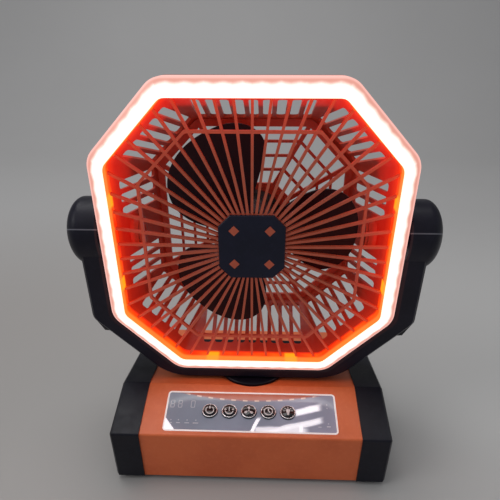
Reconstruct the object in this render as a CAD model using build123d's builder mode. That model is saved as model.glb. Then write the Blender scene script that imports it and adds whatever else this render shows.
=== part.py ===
from build123d import *
from math import acos, atan2, cos, degrees, hypot, pi, radians, sin, sqrt, tan
import os

os.makedirs("parts", exist_ok=True)

# A portable camping fan: an eight-sided head with a light ring tilts in a U-shaped yoke, and the
# yoke swings on a battery base. Millimetres; X to the right, Y to the back, Z up. The origin is
# on the table, below the swing axis, in the middle of the base. The tilt axis crosses the swing
# axis at PIVOT_HEIGHT.

# ---------------------------------------------------------------- driving dimensions: base
BASE_WIDTH = 220.0
BASE_DEPTH = 156.0
CAP_WIDTH = 23.0
CAP_PROUD = 1.0
FOOT_HEIGHT = 4.0
FRONT_HEIGHT = 49.6
RIDGE_HEIGHT = 62.7
RIDGE_SETBACK = 46.3
DECK_FALL = 8.0
BASE_WALL = 2.4
CREASE_RADIUS = 1.8
CAP_EDGE = 1.6
COVER_THICKNESS = 2.5
COVER_RISE = 0.6
FOOT_WIDTH = 16.0
FOOT_LENGTH = 34.0
FOOT_INSET = 4.0
SCREW_RADIUS = 1.5
SCREW_CLEAR = 0.2
SCREW_SLOT = (3.2, 0.6)
HEAD_THICKNESS = 1.2
COVER_SCREW_LENGTH = 14.0
BOSS_RADIUS = 3.6
SCREW_INSET_X = 7.0
SCREW_INSET_Y = 9.0
CLEAR = 0.3
RUN_FIT = 0.05

# control panel, measured on the sloped face
PANEL_WIDTH = 138.6
PANEL_LENGTH = 36.6
PANEL_START = 4.1
PANEL_RIM = 1.3
PANEL_DEPTH = 1.6
PANEL_RIM_PROUD = 0.3
PANEL_LEDGE = 2.2
PANEL_CORNER = 3.0
BUTTON_PITCH = 15.8
BUTTON_SHIFT = -1.5
BUTTON_RADIUS = 6.2
BUTTON_PROUD = 1.1
BUTTON_DOME = 1.2
BUTTON_TRAVEL = 0.8
BUTTON_LIP = 0.9
BUTTON_FLANGE = 1.0
BOARD_DEPTH = 9.0
BOARD_THICKNESS = 1.6
BOARD_WIDTH = 152.0
BOARD_LENGTH = 28.0
SWITCH_HEIGHT = 3.4
SWITCH_SIZE = 6.0
DISPLAY_X = -56.0
DISPLAY_UP = 8.0

# battery and charging sockets
CELL_RADIUS = 9.2
CELL_LENGTH = 65.0
CELL_ROWS = 3
CELL_FRONT_GAP = 10.0
TRAY_WALL = 1.5
PORT_WIDTH = 44.0
PORT_HEIGHT = 14.0
PORT_LEVEL = 24.0
PORT_RECESS = 1.7
SOCKET_LEVEL = PORT_LEVEL + 1.0
USB_A_X = -9.0
USB_A_SIZE = (14.4, 7.0)
USB_C_X = 10.0
USB_C_SIZE = (9.0, 3.3)
SOCKET_SHELL = 0.6
USB_C_SHELL = 0.4
SOCKET_CLEAR = 0.25
FLAP_THICKNESS = 1.3
FLAP_SINK = 0.2
FLAP_PIN = 0.45
FLAP_GAP = 0.35
POWER_BOARD_LENGTH = 24.0
POWER_BOARD_WIDTH = 62.0

# swing drive
SEAT_RADIUS = 32.0
SEAT_LEVEL = 60.0
SEAT_DEPTH = 8.5
SEAT_PLATE = 3.0
BUSH_RADIUS = 13.0
BUSH_LENGTH = 9.7
SPINDLE_RADIUS = 10.0
CABLE_RADIUS = 6.0
DISC_RADIUS = 30.0
GEAR_MODULE = 1.0
GEAR_TEETH = 40
PINION_TEETH = 12
GEAR_THICKNESS = 6.0
GEAR_BACKLASH = 0.2
NUT_THICKNESS = 3.0
NUT_RADIUS = 14.0
MOTOR_SHAFT_RADIUS = 2.5
SWING_MOTOR_RADIUS = 15.0
SWING_MOTOR_HEIGHT = 19.0
SWING_FLANGE = 1.2
SWING_SCREW_X = 22.0

# ---------------------------------------------------------------- driving dimensions: head
PIVOT_HEIGHT = 189.0
HEAD_HALF = 109.2
HEAD_CUT = 48.3
RING_WIDTH = 11.5
RING_CORNER = 16.0
INNER_CORNER = 8.0
LENS_FRONT = 36.0
RING_SETBACK = 6.0
LENS_WALL = 1.8
LENS_LIP = 1.3
LENS_LIP_DEPTH = 1.6
FLANGE_WALL = 1.3
LENS_SKIRT = 9.0
RIM_DEPTH = 20.0
WEB_THICKNESS = 2.0
SHELL_WALL = 2.2
REAR_HALF = 78.2
REAR_DEPTH = 35.5
REAR_GRILLE = 2.6
RING_BAR = 2.0
REAR_RINGS = 3
REAR_PLATE_HALF = 29.0
REAR_OPEN_HALF = 71.8
REAR_FLAT_SHARE = 0.575
REAR_RIB = 3.2
BAR_CORNER = 3.0
SPOKES = 52
SPOKE_WIDTH = 1.8
SPOKE_DEPTH = 2.6
SPOKE_FRONT = 28.5
SPOKE_CROWN = 2.0
GRILLE_RING_HALF = 77.5
GRILLE_RING_CUT = 34.0
SLOT_WIDTH = 6.4
SLOT_PITCH = 9.6
SLOT_FRONT = -13.0
SLOT_BACK = 28.0
SLOT_CORNER = 2.2
SIDE_SLOTS = 9
CORNER_SLOTS = 5
HUB_HALF = 23.7
HUB_CUT = 8.4
HUB_CORNER = 0.8
HUB_PLATE = 2.5
PLATE_FRONT = 30.0
BADGE_THICKNESS = 2.2
BADGE_EDGE = 0.5
DIAMOND_SIDE = 5.3
DIAMOND_OFFSET = 12.6
DIAMOND_PROUD = 0.2
LED_BAND = 6.0
LED_END_GAP = 4.2
LED_PCB = 1.2
LED_PITCH = 11.6
LED_SIZE = (3.5, 2.8, 1.4)
SIDE_LEDS = 10
CORNER_LEDS = 5
POST_RADIUS = 3.0
POST_HALF = 102.8

# tilt journals
JOURNAL_RADIUS = 8.0
JOURNAL_BORE = 5.0
TRUNNION_PAD = 12.0
PAD_INNER = 86.0
PAD_OUTER = 108.0
TRUNNION_FLANGE = 2.0
TILT_BUSH_RADIUS = 12.0
TILT_BUSH_LENGTH = 7.0
CLIP_THICKNESS = 2.0
CLIP_RADIUS = 12.0

# fan
TIP_RADIUS = 80.0
BLADES = 3
BLADE_PHASE = 5.0
BLADE_THICKNESS = 1.8
BLADE_ROOT_PITCH = 30.0
BLADE_TIP_PITCH = 14.0
BLADE_OUTLINE = [
    (17, -35), (45, -42), (66, -41), (77, -29), (80, -10),
    (79, 8), (73, 22), (62, 32), (45, 39), (17, 36),
]
HUB_RADIUS = 21.0
HUB_FRONT = -15.0
HUB_LENGTH = 23.0
HUB_WALL = 1.8
HUB_BOSS = 6.0
HUB_EDGE = 1.5
MOTOR_RADIUS = 18.0
MOTOR_FRONT = 10.0
MOTOR_WALL = 1.2
MOTOR_FLANGE = 6.0
MOTOR_FLANGE_THICKNESS = 3.0
MOTOR_SCREWS = 4
MOTOR_SCREW_RADIUS = 21.5
MOTOR_SCREW_SINK = 1.3
SHAFT_RADIUS = 2.5
BEARING_RADIUS = 6.5
BEARING_WIDTH = 4.0
MAGNET_RADIUS = 9.0
COIL_GAP = 0.5
NOSE_LENGTH = 5.0

# ---------------------------------------------------------------- driving dimensions: yoke
ARM_GAP = 3.8
ARM_THICKNESS = 16.3
YOKE_HALF_DEPTH = 22.5
YOKE_CLEARANCE = 0.9
SWEEP_GAP = 1.6
DIAGONAL_THICKNESS = 13.2
YOKE_WALL = 2.2
YOKE_CHAMFER = 2.2
BOTTOM_BEND = 40.0
SIDE_BEND = 10.0
INNER_BEND = 8.0
DRUM_RADIUS = 26.0
DOME_LENGTH = 13.4
DOME_INSET = 1.4
SEAM_TILT = 21.0
DRUM_EDGE = 1.2
BUMPER_HALF_DEPTH = 18.0
BUMPER_EDGE = 0.4
BUMPER_OUTLINE = [
    (0, 0), (0, 4.2), (1.1, 3.3), (0.9, -0.3), (-6.7, -13.3), (-11.5, -13.7), (-12.1, -12.1),
]
CAP_TAB = 4.0
TAB_WIDTH = 8.0
TAB_THICKNESS = 1.6
TAB_SETBACK = 5.0
YOKE_SCREW_SINK = 3.0
WASHER_RADIUS = 11.0
YOKE_SCREW_LEVEL = 150.0
BEAM_SCREW_X = 30.0
DIAGONAL_SCREW_X = 95.0
DISC_SCREW_X = 14.0
DISC_SCREW_Y = 12.0

# ---------------------------------------------------------------- derived: base
HOUSING_HALF = BASE_WIDTH / 2 - CAP_WIDTH
FRONT_Y = -BASE_DEPTH / 2 + CAP_PROUD
BACK_Y = BASE_DEPTH / 2 - CAP_PROUD
RIDGE_Y = FRONT_Y + RIDGE_SETBACK
SLOPE = atan2(RIDGE_HEIGHT - FRONT_HEIGHT, RIDGE_SETBACK)
FALL = radians(DECK_FALL)
COVER_BOTTOM = FOOT_HEIGHT + COVER_RISE
COVER_TOP = COVER_BOTTOM + COVER_THICKNESS
COVER_SCREWS = [
    (side * (HOUSING_HALF - SCREW_INSET_X), y)
    for side in (-1, 1)
    for y in (FRONT_Y + SCREW_INSET_Y, 0, BACK_Y - SCREW_INSET_Y)
]
SLOPE_FACE = Plane(
    origin=(0, FRONT_Y, FRONT_HEIGHT), x_dir=(1, 0, 0), z_dir=(0, -sin(SLOPE), cos(SLOPE)),
)
PANEL_MIDDLE = PANEL_START + PANEL_LENGTH / 2
BUTTON_NAMES = ["power_button", "swing_button", "fan_speed_button", "timer_button", "light_button"]
BUTTON_XS = [BUTTON_SHIFT + BUTTON_PITCH * (i - 2) for i in range(len(BUTTON_NAMES))]
BOARD_POST_X = PANEL_WIDTH / 2 + 3.6
FLAP_Y = BACK_Y - FLAP_SINK - FLAP_THICKNESS / 2
FLAP_Z = PORT_LEVEL - PORT_HEIGHT / 2 + FLAP_GAP + FLAP_THICKNESS / 2

# ---------------------------------------------------------------- derived: head
RING_INNER = HEAD_HALF - RING_WIDTH
RIM_Y = -(LENS_FRONT - RING_SETBACK)
WEB_BACK = -LENS_FRONT + RIM_DEPTH
WEB_FRONT = WEB_BACK - WEB_THICKNESS
REAR_PITCH = (REAR_OPEN_HALF - REAR_PLATE_HALF) / (REAR_RINGS + 1)
SKIRT_BACK = RIM_Y + LENS_SKIRT
FUNNEL_FRONT = SKIRT_BACK
REAR_INNER_Y = REAR_DEPTH - REAR_GRILLE
REAR_CORNER_ANGLE = degrees(atan2(REAR_FLAT_SHARE, 1))
REAR_RIB_TURNS = [
    REAR_CORNER_ANGLE, 90 - REAR_CORNER_ANGLE, 90 + REAR_CORNER_ANGLE, 180 - REAR_CORNER_ANGLE,
]
HEAD_AXIS = Axis((0, 0, PIVOT_HEIGHT), (0, 1, 0))
TILT_AXIS = Axis((0, 0, PIVOT_HEIGHT), (1, 0, 0))

# ---------------------------------------------------------------- derived: yoke
SWEEP_RADIUS = hypot(HEAD_HALF, RIM_Y)
SEAM_PLANE = Plane(
    origin=(0, 0, PIVOT_HEIGHT), x_dir=(1, 0, 0), z_dir=(0, sin(radians(SEAM_TILT)), cos(radians(SEAM_TILT))),
)
ARM_INNER = HEAD_HALF + ARM_GAP
ARM_OUTER = ARM_INNER + ARM_THICKNESS
CLIP_X = ARM_INNER + TILT_BUSH_LENGTH + CLEAR
YOKE_BOTTOM = RIDGE_HEIGHT + YOKE_CLEARANCE
BEAM_TOP = PIVOT_HEIGHT - SWEEP_RADIUS - SWEEP_GAP
INNER_SUM = HEAD_HALF + hypot(HEAD_HALF - HEAD_CUT, RIM_Y) + SWEEP_GAP
OUTER_SUM = INNER_SUM + DIAGONAL_THICKNESS * sqrt(2)
GEAR_TOP = SEAT_LEVEL - BUSH_LENGTH - CLEAR
GEAR_BOTTOM = GEAR_TOP - GEAR_THICKNESS
SPINDLE_END = GEAR_BOTTOM - NUT_THICKNESS
FLANGE_TOP = SPINDLE_END - 2 * CLEAR
PINION_Y = GEAR_MODULE * (GEAR_TEETH + PINION_TEETH) / 2

DIAGONAL_MIDDLE = (INNER_SUM + OUTER_SUM) / 2 - PIVOT_HEIGHT
YOKE_SCREWS = [
    (side * x, z)
    for side in (-1, 1)
    for x, z in (
        ((ARM_INNER + ARM_OUTER) / 2, YOKE_SCREW_LEVEL),
        (DIAGONAL_SCREW_X, DIAGONAL_SCREW_X - DIAGONAL_MIDDLE),
        (BEAM_SCREW_X, (YOKE_BOTTOM + BEAM_TOP) / 2),
    )
]


# ---------------------------------------------------------------- helpers
def save(builder, name):
    """Label a finished piece and write its STEP file."""
    builder.part.label = name
    export_step(builder.part, f"parts/{name}.step")


def roof_level(y, grow=0.0):
    """Height of the base's roof at y, or of a parallel roof that lies grow above it."""
    slope_level = FRONT_HEIGHT + grow / cos(SLOPE) + (y - FRONT_Y) * tan(SLOPE)
    deck_level = RIDGE_HEIGHT + grow / cos(FALL) - (y - RIDGE_Y) * tan(FALL)
    return min(slope_level, deck_level)


def ridge_at(grow):
    """Y of the crease between the sloped face and the deck of the parallel roof."""
    climb = RIDGE_HEIGHT - FRONT_HEIGHT + grow / cos(FALL) - grow / cos(SLOPE)
    return (climb + FRONT_Y * tan(SLOPE) + RIDGE_Y * tan(FALL)) / (tan(SLOPE) + tan(FALL))


def side_profile(grow=0.0, bottom=FOOT_HEIGHT):
    """Corners of the base seen from its side, as (y, z), with its faces moved out by grow."""
    front = FRONT_Y - grow
    back = BACK_Y + grow
    ridge = ridge_at(grow)
    return [
        (front, bottom),
        (front, roof_level(front, grow)),
        (ridge, roof_level(ridge, grow)),
        (back, roof_level(back, grow)),
        (back, bottom),
    ]


def filled_outline(points, radii, mode=Mode.ADD):
    """A closed outline with rounded corners, filled, in the sketch at hand."""
    with BuildLine() as line:
        FilletPolyline(*points, radius=radii, close=True)
    make_face(line.line.edges(), mode=mode)


def head_plane(y):
    """A plane across the head at depth y, seen from the front, centred on the head's axis."""
    return Plane(origin=(0, y, PIVOT_HEIGHT), x_dir=(1, 0, 0), z_dir=(0, -1, 0))


def ring_cut(half):
    """Corner cut of an eight-sided outline that lies parallel to the light ring's outer edge."""
    return HEAD_CUT - (HEAD_HALF - half) * (2 - sqrt(2))


def octagon_points(half, cut):
    """Corners of a square of half-width half with its corners cut off."""
    flat = half - cut
    return [
        (half, -flat), (half, flat), (flat, half), (-flat, half),
        (-half, flat), (-half, -flat), (-flat, -half), (flat, -half),
    ]


def ring_radius(half):
    """Corner radius of an outline that lies parallel to the light ring's outer edge."""
    return max(INNER_CORNER, RING_CORNER - (HEAD_HALF - half))


def octagon(half, radius=None, cut=None, mode=Mode.ADD):
    """The head's eight-sided outline with rounded corners, in the sketch at hand."""
    corner = ring_cut(half) if cut is None else cut
    rounding = ring_radius(half) if radius is None else radius
    filled_outline(octagon_points(half, corner), rounding, mode)


def rear_cut(half):
    """Corner cut of the rings in the rear grille."""
    return half * (1 - REAR_FLAT_SHARE)


def grille_cut(half):
    """Corner cut of an outline that lies parallel to the thin ring of the front grille."""
    return GRILLE_RING_CUT - (GRILLE_RING_HALF - half) * (2 - sqrt(2))


def side_distance(half, angle):
    """Distance from the head's axis to the side at the angle, on an outline of half-width half."""
    return half if angle % 90 == 0 else (2 * half - ring_cut(half)) / sqrt(2)


def side_plane(angle, y=0.0):
    """A plane through the head's axis, facing outwards at the angle, for what sits on that side."""
    outwards = (cos(radians(angle)), 0, sin(radians(angle)))
    tangent = (-sin(radians(angle)), 0, cos(radians(angle)))
    return Plane(origin=(0, y, PIVOT_HEIGHT), x_dir=tangent, z_dir=outwards)


def tooth_points(teeth):
    """One gear tooth along +X: involute flanks from the root to the tip, as points."""
    pitch_radius = GEAR_MODULE * teeth / 2
    base_radius = pitch_radius * cos(radians(20))
    tip_radius = pitch_radius + GEAR_MODULE
    root_radius = pitch_radius - 1.25 * GEAR_MODULE
    start_radius = max(root_radius, base_radius)
    half_angle = pi / (2 * teeth) - GEAR_BACKLASH / (2 * pitch_radius) + tan(radians(20)) - radians(20)
    steps = 5
    flank = []
    for i in range(steps + 1):
        radius = start_radius + (tip_radius - start_radius) * i / steps
        pressure = acos(min(1.0, base_radius / radius))
        angle = half_angle - (tan(pressure) - pressure)
        flank.append((radius * cos(angle), radius * sin(angle)))
    inside = root_radius - 0.5 * GEAR_MODULE
    first_angle = atan2(flank[0][1], flank[0][0])
    upper = [(inside * cos(first_angle), inside * sin(first_angle))] + flank
    lower = [(x, -y) for x, y in reversed(upper)]
    return upper + lower


def gear_face(teeth, phase):
    """A spur gear's outline, filled, in the sketch at hand."""
    Circle(GEAR_MODULE * (teeth / 2 - 1.25))
    with PolarLocations(0, teeth, start_angle=phase):
        Polygon(*tooth_points(teeth), align=None)


def yoke_points(shrink=0.0, top=PIVOT_HEIGHT):
    """The U of the yoke seen from the front, with its walls moved in by shrink."""
    outer = ARM_OUTER - shrink
    inner = ARM_INNER + shrink
    bottom = YOKE_BOTTOM + shrink
    beam = BEAM_TOP - shrink
    outer_sum = OUTER_SUM - PIVOT_HEIGHT - shrink * sqrt(2)
    inner_sum = INNER_SUM - PIVOT_HEIGHT + shrink * sqrt(2)
    half = [
        (outer, top), (outer, outer - outer_sum), (bottom + outer_sum, bottom),
    ]
    inside = [
        (beam + inner_sum, beam), (inner, inner - inner_sum), (inner, top),
    ]
    outside = half + [(-x, z) for x, z in reversed(half)]
    return outside + [(-x, z) for x, z in reversed(inside)] + inside


def yoke_radii(shrink=0.0):
    """Corner radii that match yoke_points."""
    bottom = BOTTOM_BEND - shrink
    side = SIDE_BEND - shrink
    inner = INNER_BEND + shrink
    return [0, side, bottom, bottom, side, 0, 0, inner, inner, inner, inner, 0]


def drum_section(side, shrink=0.0):
    """Half section of a pivot drum with its domed end, filled, in the sketch at hand."""
    inner = side * (ARM_INNER + shrink)
    outer = side * (ARM_OUTER - DOME_INSET)
    tip = side * (ARM_OUTER - DOME_INSET + DOME_LENGTH - shrink)
    radius = DRUM_RADIUS - shrink
    edge = DRUM_EDGE if shrink == 0 else DRUM_EDGE / 2
    with BuildLine() as line:
        Polyline((tip, 0), (inner, 0), (inner, radius - edge), (inner + side * edge, radius), (outer, radius))
        start = 0 if side > 0 else 90
        EllipticalCenterArc((outer, 0), DOME_LENGTH - shrink, radius, start_angle=start, arc_size=90)
    make_face(line.line.edges())


# ================================================================ base: shell
with BuildPart() as base_housing:
    with BuildSketch(Plane.YZ.offset(-HOUSING_HALF)):
        Polygon(*side_profile(), align=None)
        fillet(vertices().filter_by(lambda v: v.Y > FOOT_HEIGHT + 1), CREASE_RADIUS)
        Polygon(*side_profile(-BASE_WALL), align=None, mode=Mode.SUBTRACT)
    extrude(amount=2 * HOUSING_HALF)
    # round seat for the swivel disc, level although the deck falls to the back
    with BuildSketch(Plane.XY.offset(SEAT_LEVEL - SEAT_DEPTH)):
        Circle(SEAT_RADIUS)
    extrude(amount=SEAT_DEPTH)
    with BuildSketch(Plane.XY.offset(SEAT_LEVEL)):
        Circle(SEAT_RADIUS)
    extrude(amount=RIDGE_HEIGHT, mode=Mode.SUBTRACT)
    with BuildSketch(Plane.XY.offset(SEAT_LEVEL - SEAT_PLATE)):
        Circle(SEAT_RADIUS - BASE_WALL)
        Circle(BUSH_RADIUS + BASE_WALL, mode=Mode.SUBTRACT)
    extrude(amount=-(SEAT_DEPTH - SEAT_PLATE), mode=Mode.SUBTRACT)
    with BuildSketch(Plane.XY.offset(SEAT_LEVEL)):
        Circle(BUSH_RADIUS)
    extrude(amount=-SEAT_DEPTH, mode=Mode.SUBTRACT)
    # recess and window of the control panel
    with BuildSketch(SLOPE_FACE):
        with Locations((0, PANEL_MIDDLE)):
            RectangleRounded(PANEL_WIDTH, PANEL_LENGTH, PANEL_CORNER)
    extrude(amount=-PANEL_DEPTH, mode=Mode.SUBTRACT)
    with BuildSketch(SLOPE_FACE):
        with Locations((0, PANEL_MIDDLE)):
            Rectangle(PANEL_WIDTH - 2 * PANEL_LEDGE, PANEL_LENGTH - 2 * PANEL_LEDGE)
    extrude(amount=-2 * BASE_WALL, mode=Mode.SUBTRACT)
    # posts that carry the control board
    with BuildSketch(SLOPE_FACE.offset(-BASE_WALL / 2)):
        with Locations((-BOARD_POST_X, PANEL_MIDDLE), (BOARD_POST_X, PANEL_MIDDLE)):
            Circle(SCREW_RADIUS + 1.5)
    extrude(amount=-(BOARD_DEPTH - BASE_WALL / 2))
    with BuildSketch(SLOPE_FACE.offset(-BOARD_DEPTH)):
        with Locations((-BOARD_POST_X, PANEL_MIDDLE), (BOARD_POST_X, PANEL_MIDDLE)):
            Circle(SCREW_RADIUS + RUN_FIT)
    extrude(amount=BOARD_DEPTH - BASE_WALL, mode=Mode.SUBTRACT)
    # bosses for the cover screws, from the cover up to the roof
    for x, y in COVER_SCREWS:
        boss_top = min(roof_level(y - BOSS_RADIUS), roof_level(y + BOSS_RADIUS)) - BASE_WALL / 2
        with BuildSketch(Plane.XY.offset(COVER_TOP)):
            with Locations((x, y)):
                Circle(BOSS_RADIUS)
                Circle(SCREW_RADIUS + RUN_FIT, mode=Mode.SUBTRACT)
        extrude(amount=boss_top - COVER_TOP)
    # bosses that the swing motor hangs from
    for x in (-SWING_SCREW_X, SWING_SCREW_X):
        boss_top = roof_level(PINION_Y + BOSS_RADIUS) - BASE_WALL / 2
        with BuildSketch(Plane.XY.offset(FLANGE_TOP)):
            with Locations((x, PINION_Y)):
                Circle(BOSS_RADIUS)
                Circle(SCREW_RADIUS + RUN_FIT, mode=Mode.SUBTRACT)
        extrude(amount=boss_top - FLANGE_TOP)
    # recess for the port cover, its hinge groove and pin holes, and the two socket openings
    with BuildSketch(Plane.XZ.offset(-BACK_Y)):
        with Locations((0, PORT_LEVEL)):
            Rectangle(PORT_WIDTH, PORT_HEIGHT)
    extrude(amount=PORT_RECESS, mode=Mode.SUBTRACT)
    with BuildSketch(Plane.YZ):
        with Locations((FLAP_Y, FLAP_Z)):
            Circle(FLAP_PIN + RUN_FIT)
    extrude(amount=PORT_WIDTH / 2 + 1.5, both=True, mode=Mode.SUBTRACT)
    with BuildSketch(Plane.XZ.offset(-BACK_Y)):
        with Locations((USB_A_X, SOCKET_LEVEL)):
            Rectangle(USB_A_SIZE[0] + 2 * SOCKET_CLEAR, USB_A_SIZE[1] + 2 * SOCKET_CLEAR)
        with Locations((USB_C_X, SOCKET_LEVEL)):
            SlotOverall(USB_C_SIZE[0] + 2 * SOCKET_CLEAR, USB_C_SIZE[1] + 2 * SOCKET_CLEAR)
    extrude(amount=2 * BASE_WALL, mode=Mode.SUBTRACT)
save(base_housing, "base_housing")

for side, name in ((-1, "end_cap_left"), (1, "end_cap_right")):
    with BuildPart() as end_cap:
        with BuildSketch(Plane.YZ.offset(side * HOUSING_HALF)):
            Polygon(*side_profile(CAP_PROUD), align=None)
            fillet(vertices().filter_by(lambda v: v.Y > FOOT_HEIGHT + 1), CREASE_RADIUS)
        extrude(amount=side * CAP_WIDTH)
        outer_face = faces().sort_by(Axis.X)[-1 if side > 0 else 0]
        chamfer(outer_face.edges(), CAP_EDGE)
        with BuildSketch(Plane.YZ.offset(side * HOUSING_HALF)):
            Polygon(*side_profile(CAP_PROUD - BASE_WALL, FOOT_HEIGHT + BASE_WALL), align=None)
        extrude(amount=side * (CAP_WIDTH - BASE_WALL), mode=Mode.SUBTRACT)
        # tongue that slides into the open end of the housing
        with BuildSketch(Plane.YZ.offset(side * (HOUSING_HALF + 1.0))):
            Polygon(*side_profile(-BASE_WALL - RUN_FIT, COVER_TOP + CLEAR), align=None)
            Polygon(*side_profile(-2 * BASE_WALL, COVER_TOP + BASE_WALL), align=None, mode=Mode.SUBTRACT)
        extrude(amount=-side * 4.0)
        # web that joins the tongue to the cap's wall
        with BuildSketch(Plane.YZ.offset(side * HOUSING_HALF)):
            Polygon(*side_profile(CAP_PROUD - BASE_WALL / 2, FOOT_HEIGHT + BASE_WALL / 2), align=None)
            Polygon(*side_profile(-2 * BASE_WALL, COVER_TOP + BASE_WALL), align=None, mode=Mode.SUBTRACT)
        extrude(amount=side * 1.2)
    save(end_cap, name)

with BuildPart() as base_bottom_cover:
    cover_depth = BACK_Y - FRONT_Y - 2 * BASE_WALL - 2 * CLEAR
    with BuildSketch(Plane.XY.offset(COVER_BOTTOM)):
        Rectangle(2 * HOUSING_HALF - 2 * CLEAR, cover_depth)
        with Locations(*COVER_SCREWS):
            Circle(SCREW_RADIUS + SCREW_CLEAR, mode=Mode.SUBTRACT)
    extrude(amount=COVER_THICKNESS)
    with BuildSketch(Plane.XY.offset(COVER_BOTTOM)):
        with Locations(*COVER_SCREWS):
            Circle(2 * SCREW_RADIUS + SCREW_CLEAR)
    extrude(amount=HEAD_THICKNESS, mode=Mode.SUBTRACT)
    # vents below the battery
    with BuildSketch(Plane.XY.offset(COVER_BOTTOM)):
        with GridLocations(8, 0, 9, 1):
            with Locations((0, 20)):
                SlotOverall(26, 2.4, rotation=90)
    extrude(amount=COVER_THICKNESS, mode=Mode.SUBTRACT)
save(base_bottom_cover, "base_bottom_cover")

with BuildPart() as base_screws:
    with BuildSketch(Plane.XY.offset(COVER_BOTTOM)):
        with Locations(*COVER_SCREWS):
            Circle(2 * SCREW_RADIUS)
    extrude(amount=HEAD_THICKNESS)
    with BuildSketch(Plane.XY.offset(COVER_BOTTOM)):
        with Locations(*COVER_SCREWS):
            Circle(SCREW_RADIUS)
    extrude(amount=COVER_SCREW_LENGTH)
    with BuildSketch(Plane.XY.offset(COVER_BOTTOM)):
        with Locations(*COVER_SCREWS):
            Rectangle(*SCREW_SLOT)
            Rectangle(*reversed(SCREW_SLOT))
    extrude(amount=0.8, mode=Mode.SUBTRACT)
save(base_screws, "base_screws")

with BuildPart() as rubber_feet:
    foot_x = BASE_WIDTH / 2 - FOOT_INSET - FOOT_WIDTH / 2
    foot_y = BASE_DEPTH / 2 - FOOT_INSET - FOOT_LENGTH / 2
    with BuildSketch():
        with GridLocations(2 * foot_x, 2 * foot_y, 2, 2):
            RectangleRounded(FOOT_WIDTH, FOOT_LENGTH, 3.0)
    extrude(amount=FOOT_HEIGHT)
    chamfer(faces().group_by(Axis.Z)[0].edges(), 0.8)
save(rubber_feet, "rubber_feet")

# ================================================================ base: control panel
with BuildPart() as panel_frame:
    with BuildSketch(SLOPE_FACE.offset(-PANEL_DEPTH)):
        with Locations((0, PANEL_MIDDLE)):
            RectangleRounded(PANEL_WIDTH - 2 * RUN_FIT, PANEL_LENGTH - 2 * RUN_FIT, PANEL_CORNER)
            RectangleRounded(
                PANEL_WIDTH - 2 * PANEL_RIM, PANEL_LENGTH - 2 * PANEL_RIM, PANEL_CORNER - PANEL_RIM,
                mode=Mode.SUBTRACT,
            )
    extrude(amount=PANEL_DEPTH + PANEL_RIM_PROUD)
save(panel_frame, "panel_frame")

with BuildPart() as panel_lens:
    with BuildSketch(SLOPE_FACE.offset(-PANEL_DEPTH)):
        with Locations((0, PANEL_MIDDLE)):
            lens_width = PANEL_WIDTH - 2 * PANEL_RIM - 2 * RUN_FIT
            lens_length = PANEL_LENGTH - 2 * PANEL_RIM - 2 * RUN_FIT
            RectangleRounded(lens_width, lens_length, PANEL_CORNER - PANEL_RIM)
        with Locations(*[(x, PANEL_MIDDLE) for x in BUTTON_XS]):
            Circle(BUTTON_RADIUS + CLEAR, mode=Mode.SUBTRACT)
    extrude(amount=PANEL_DEPTH)
save(panel_lens, "panel_lens")

for x, name in zip(BUTTON_XS, BUTTON_NAMES):
    with BuildPart() as button:
        # domed barrel through the panel, lip below it, stem down to the switch
        lip_bottom = -PANEL_DEPTH - CLEAR - BUTTON_FLANGE
        dome_radius = (BUTTON_RADIUS**2 + BUTTON_DOME**2) / (2 * BUTTON_DOME)
        with Locations(SLOPE_FACE.offset(BUTTON_PROUD + BUTTON_DOME - dome_radius).location):
            with Locations((x, PANEL_MIDDLE)):
                Sphere(dome_radius)
        with BuildSketch(SLOPE_FACE.offset(lip_bottom)):
            with Locations((x, PANEL_MIDDLE)):
                Circle(BUTTON_RADIUS)
        extrude(amount=4 * BUTTON_RADIUS, mode=Mode.INTERSECT)
        with BuildSketch(SLOPE_FACE.offset(lip_bottom)):
            with Locations((x, PANEL_MIDDLE)):
                Circle(BUTTON_RADIUS + BUTTON_LIP)
        extrude(amount=BUTTON_FLANGE)
        with BuildSketch(SLOPE_FACE.offset(lip_bottom)):
            with Locations((x, PANEL_MIDDLE)):
                Circle(SCREW_RADIUS)
        extrude(amount=-(lip_bottom + BOARD_DEPTH - SWITCH_HEIGHT - BUTTON_TRAVEL - 0.1))
    save(button, name)

with BuildPart() as control_board:
    with BuildSketch(SLOPE_FACE.offset(-BOARD_DEPTH)):
        with Locations((0, PANEL_MIDDLE)):
            Rectangle(BOARD_WIDTH, BOARD_LENGTH)
        with Locations((-BOARD_POST_X, PANEL_MIDDLE), (BOARD_POST_X, PANEL_MIDDLE)):
            Circle(SCREW_RADIUS + SCREW_CLEAR, mode=Mode.SUBTRACT)
    extrude(amount=-BOARD_THICKNESS)
save(control_board, "control_board")

with BuildPart() as tact_switches:
    with BuildSketch(SLOPE_FACE.offset(-BOARD_DEPTH)):
        with Locations(*[(x, PANEL_MIDDLE) for x in BUTTON_XS]):
            Rectangle(SWITCH_SIZE, SWITCH_SIZE)
    extrude(amount=SWITCH_HEIGHT)
save(tact_switches, "tact_switches")

with BuildPart() as display_module:
    with BuildSketch(SLOPE_FACE.offset(-BOARD_DEPTH)):
        with Locations((DISPLAY_X, PANEL_MIDDLE + DISPLAY_UP)):
            Rectangle(15.0, 10.0)
    extrude(amount=BOARD_DEPTH - PANEL_DEPTH - CLEAR)
save(display_module, "display_module")

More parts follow.
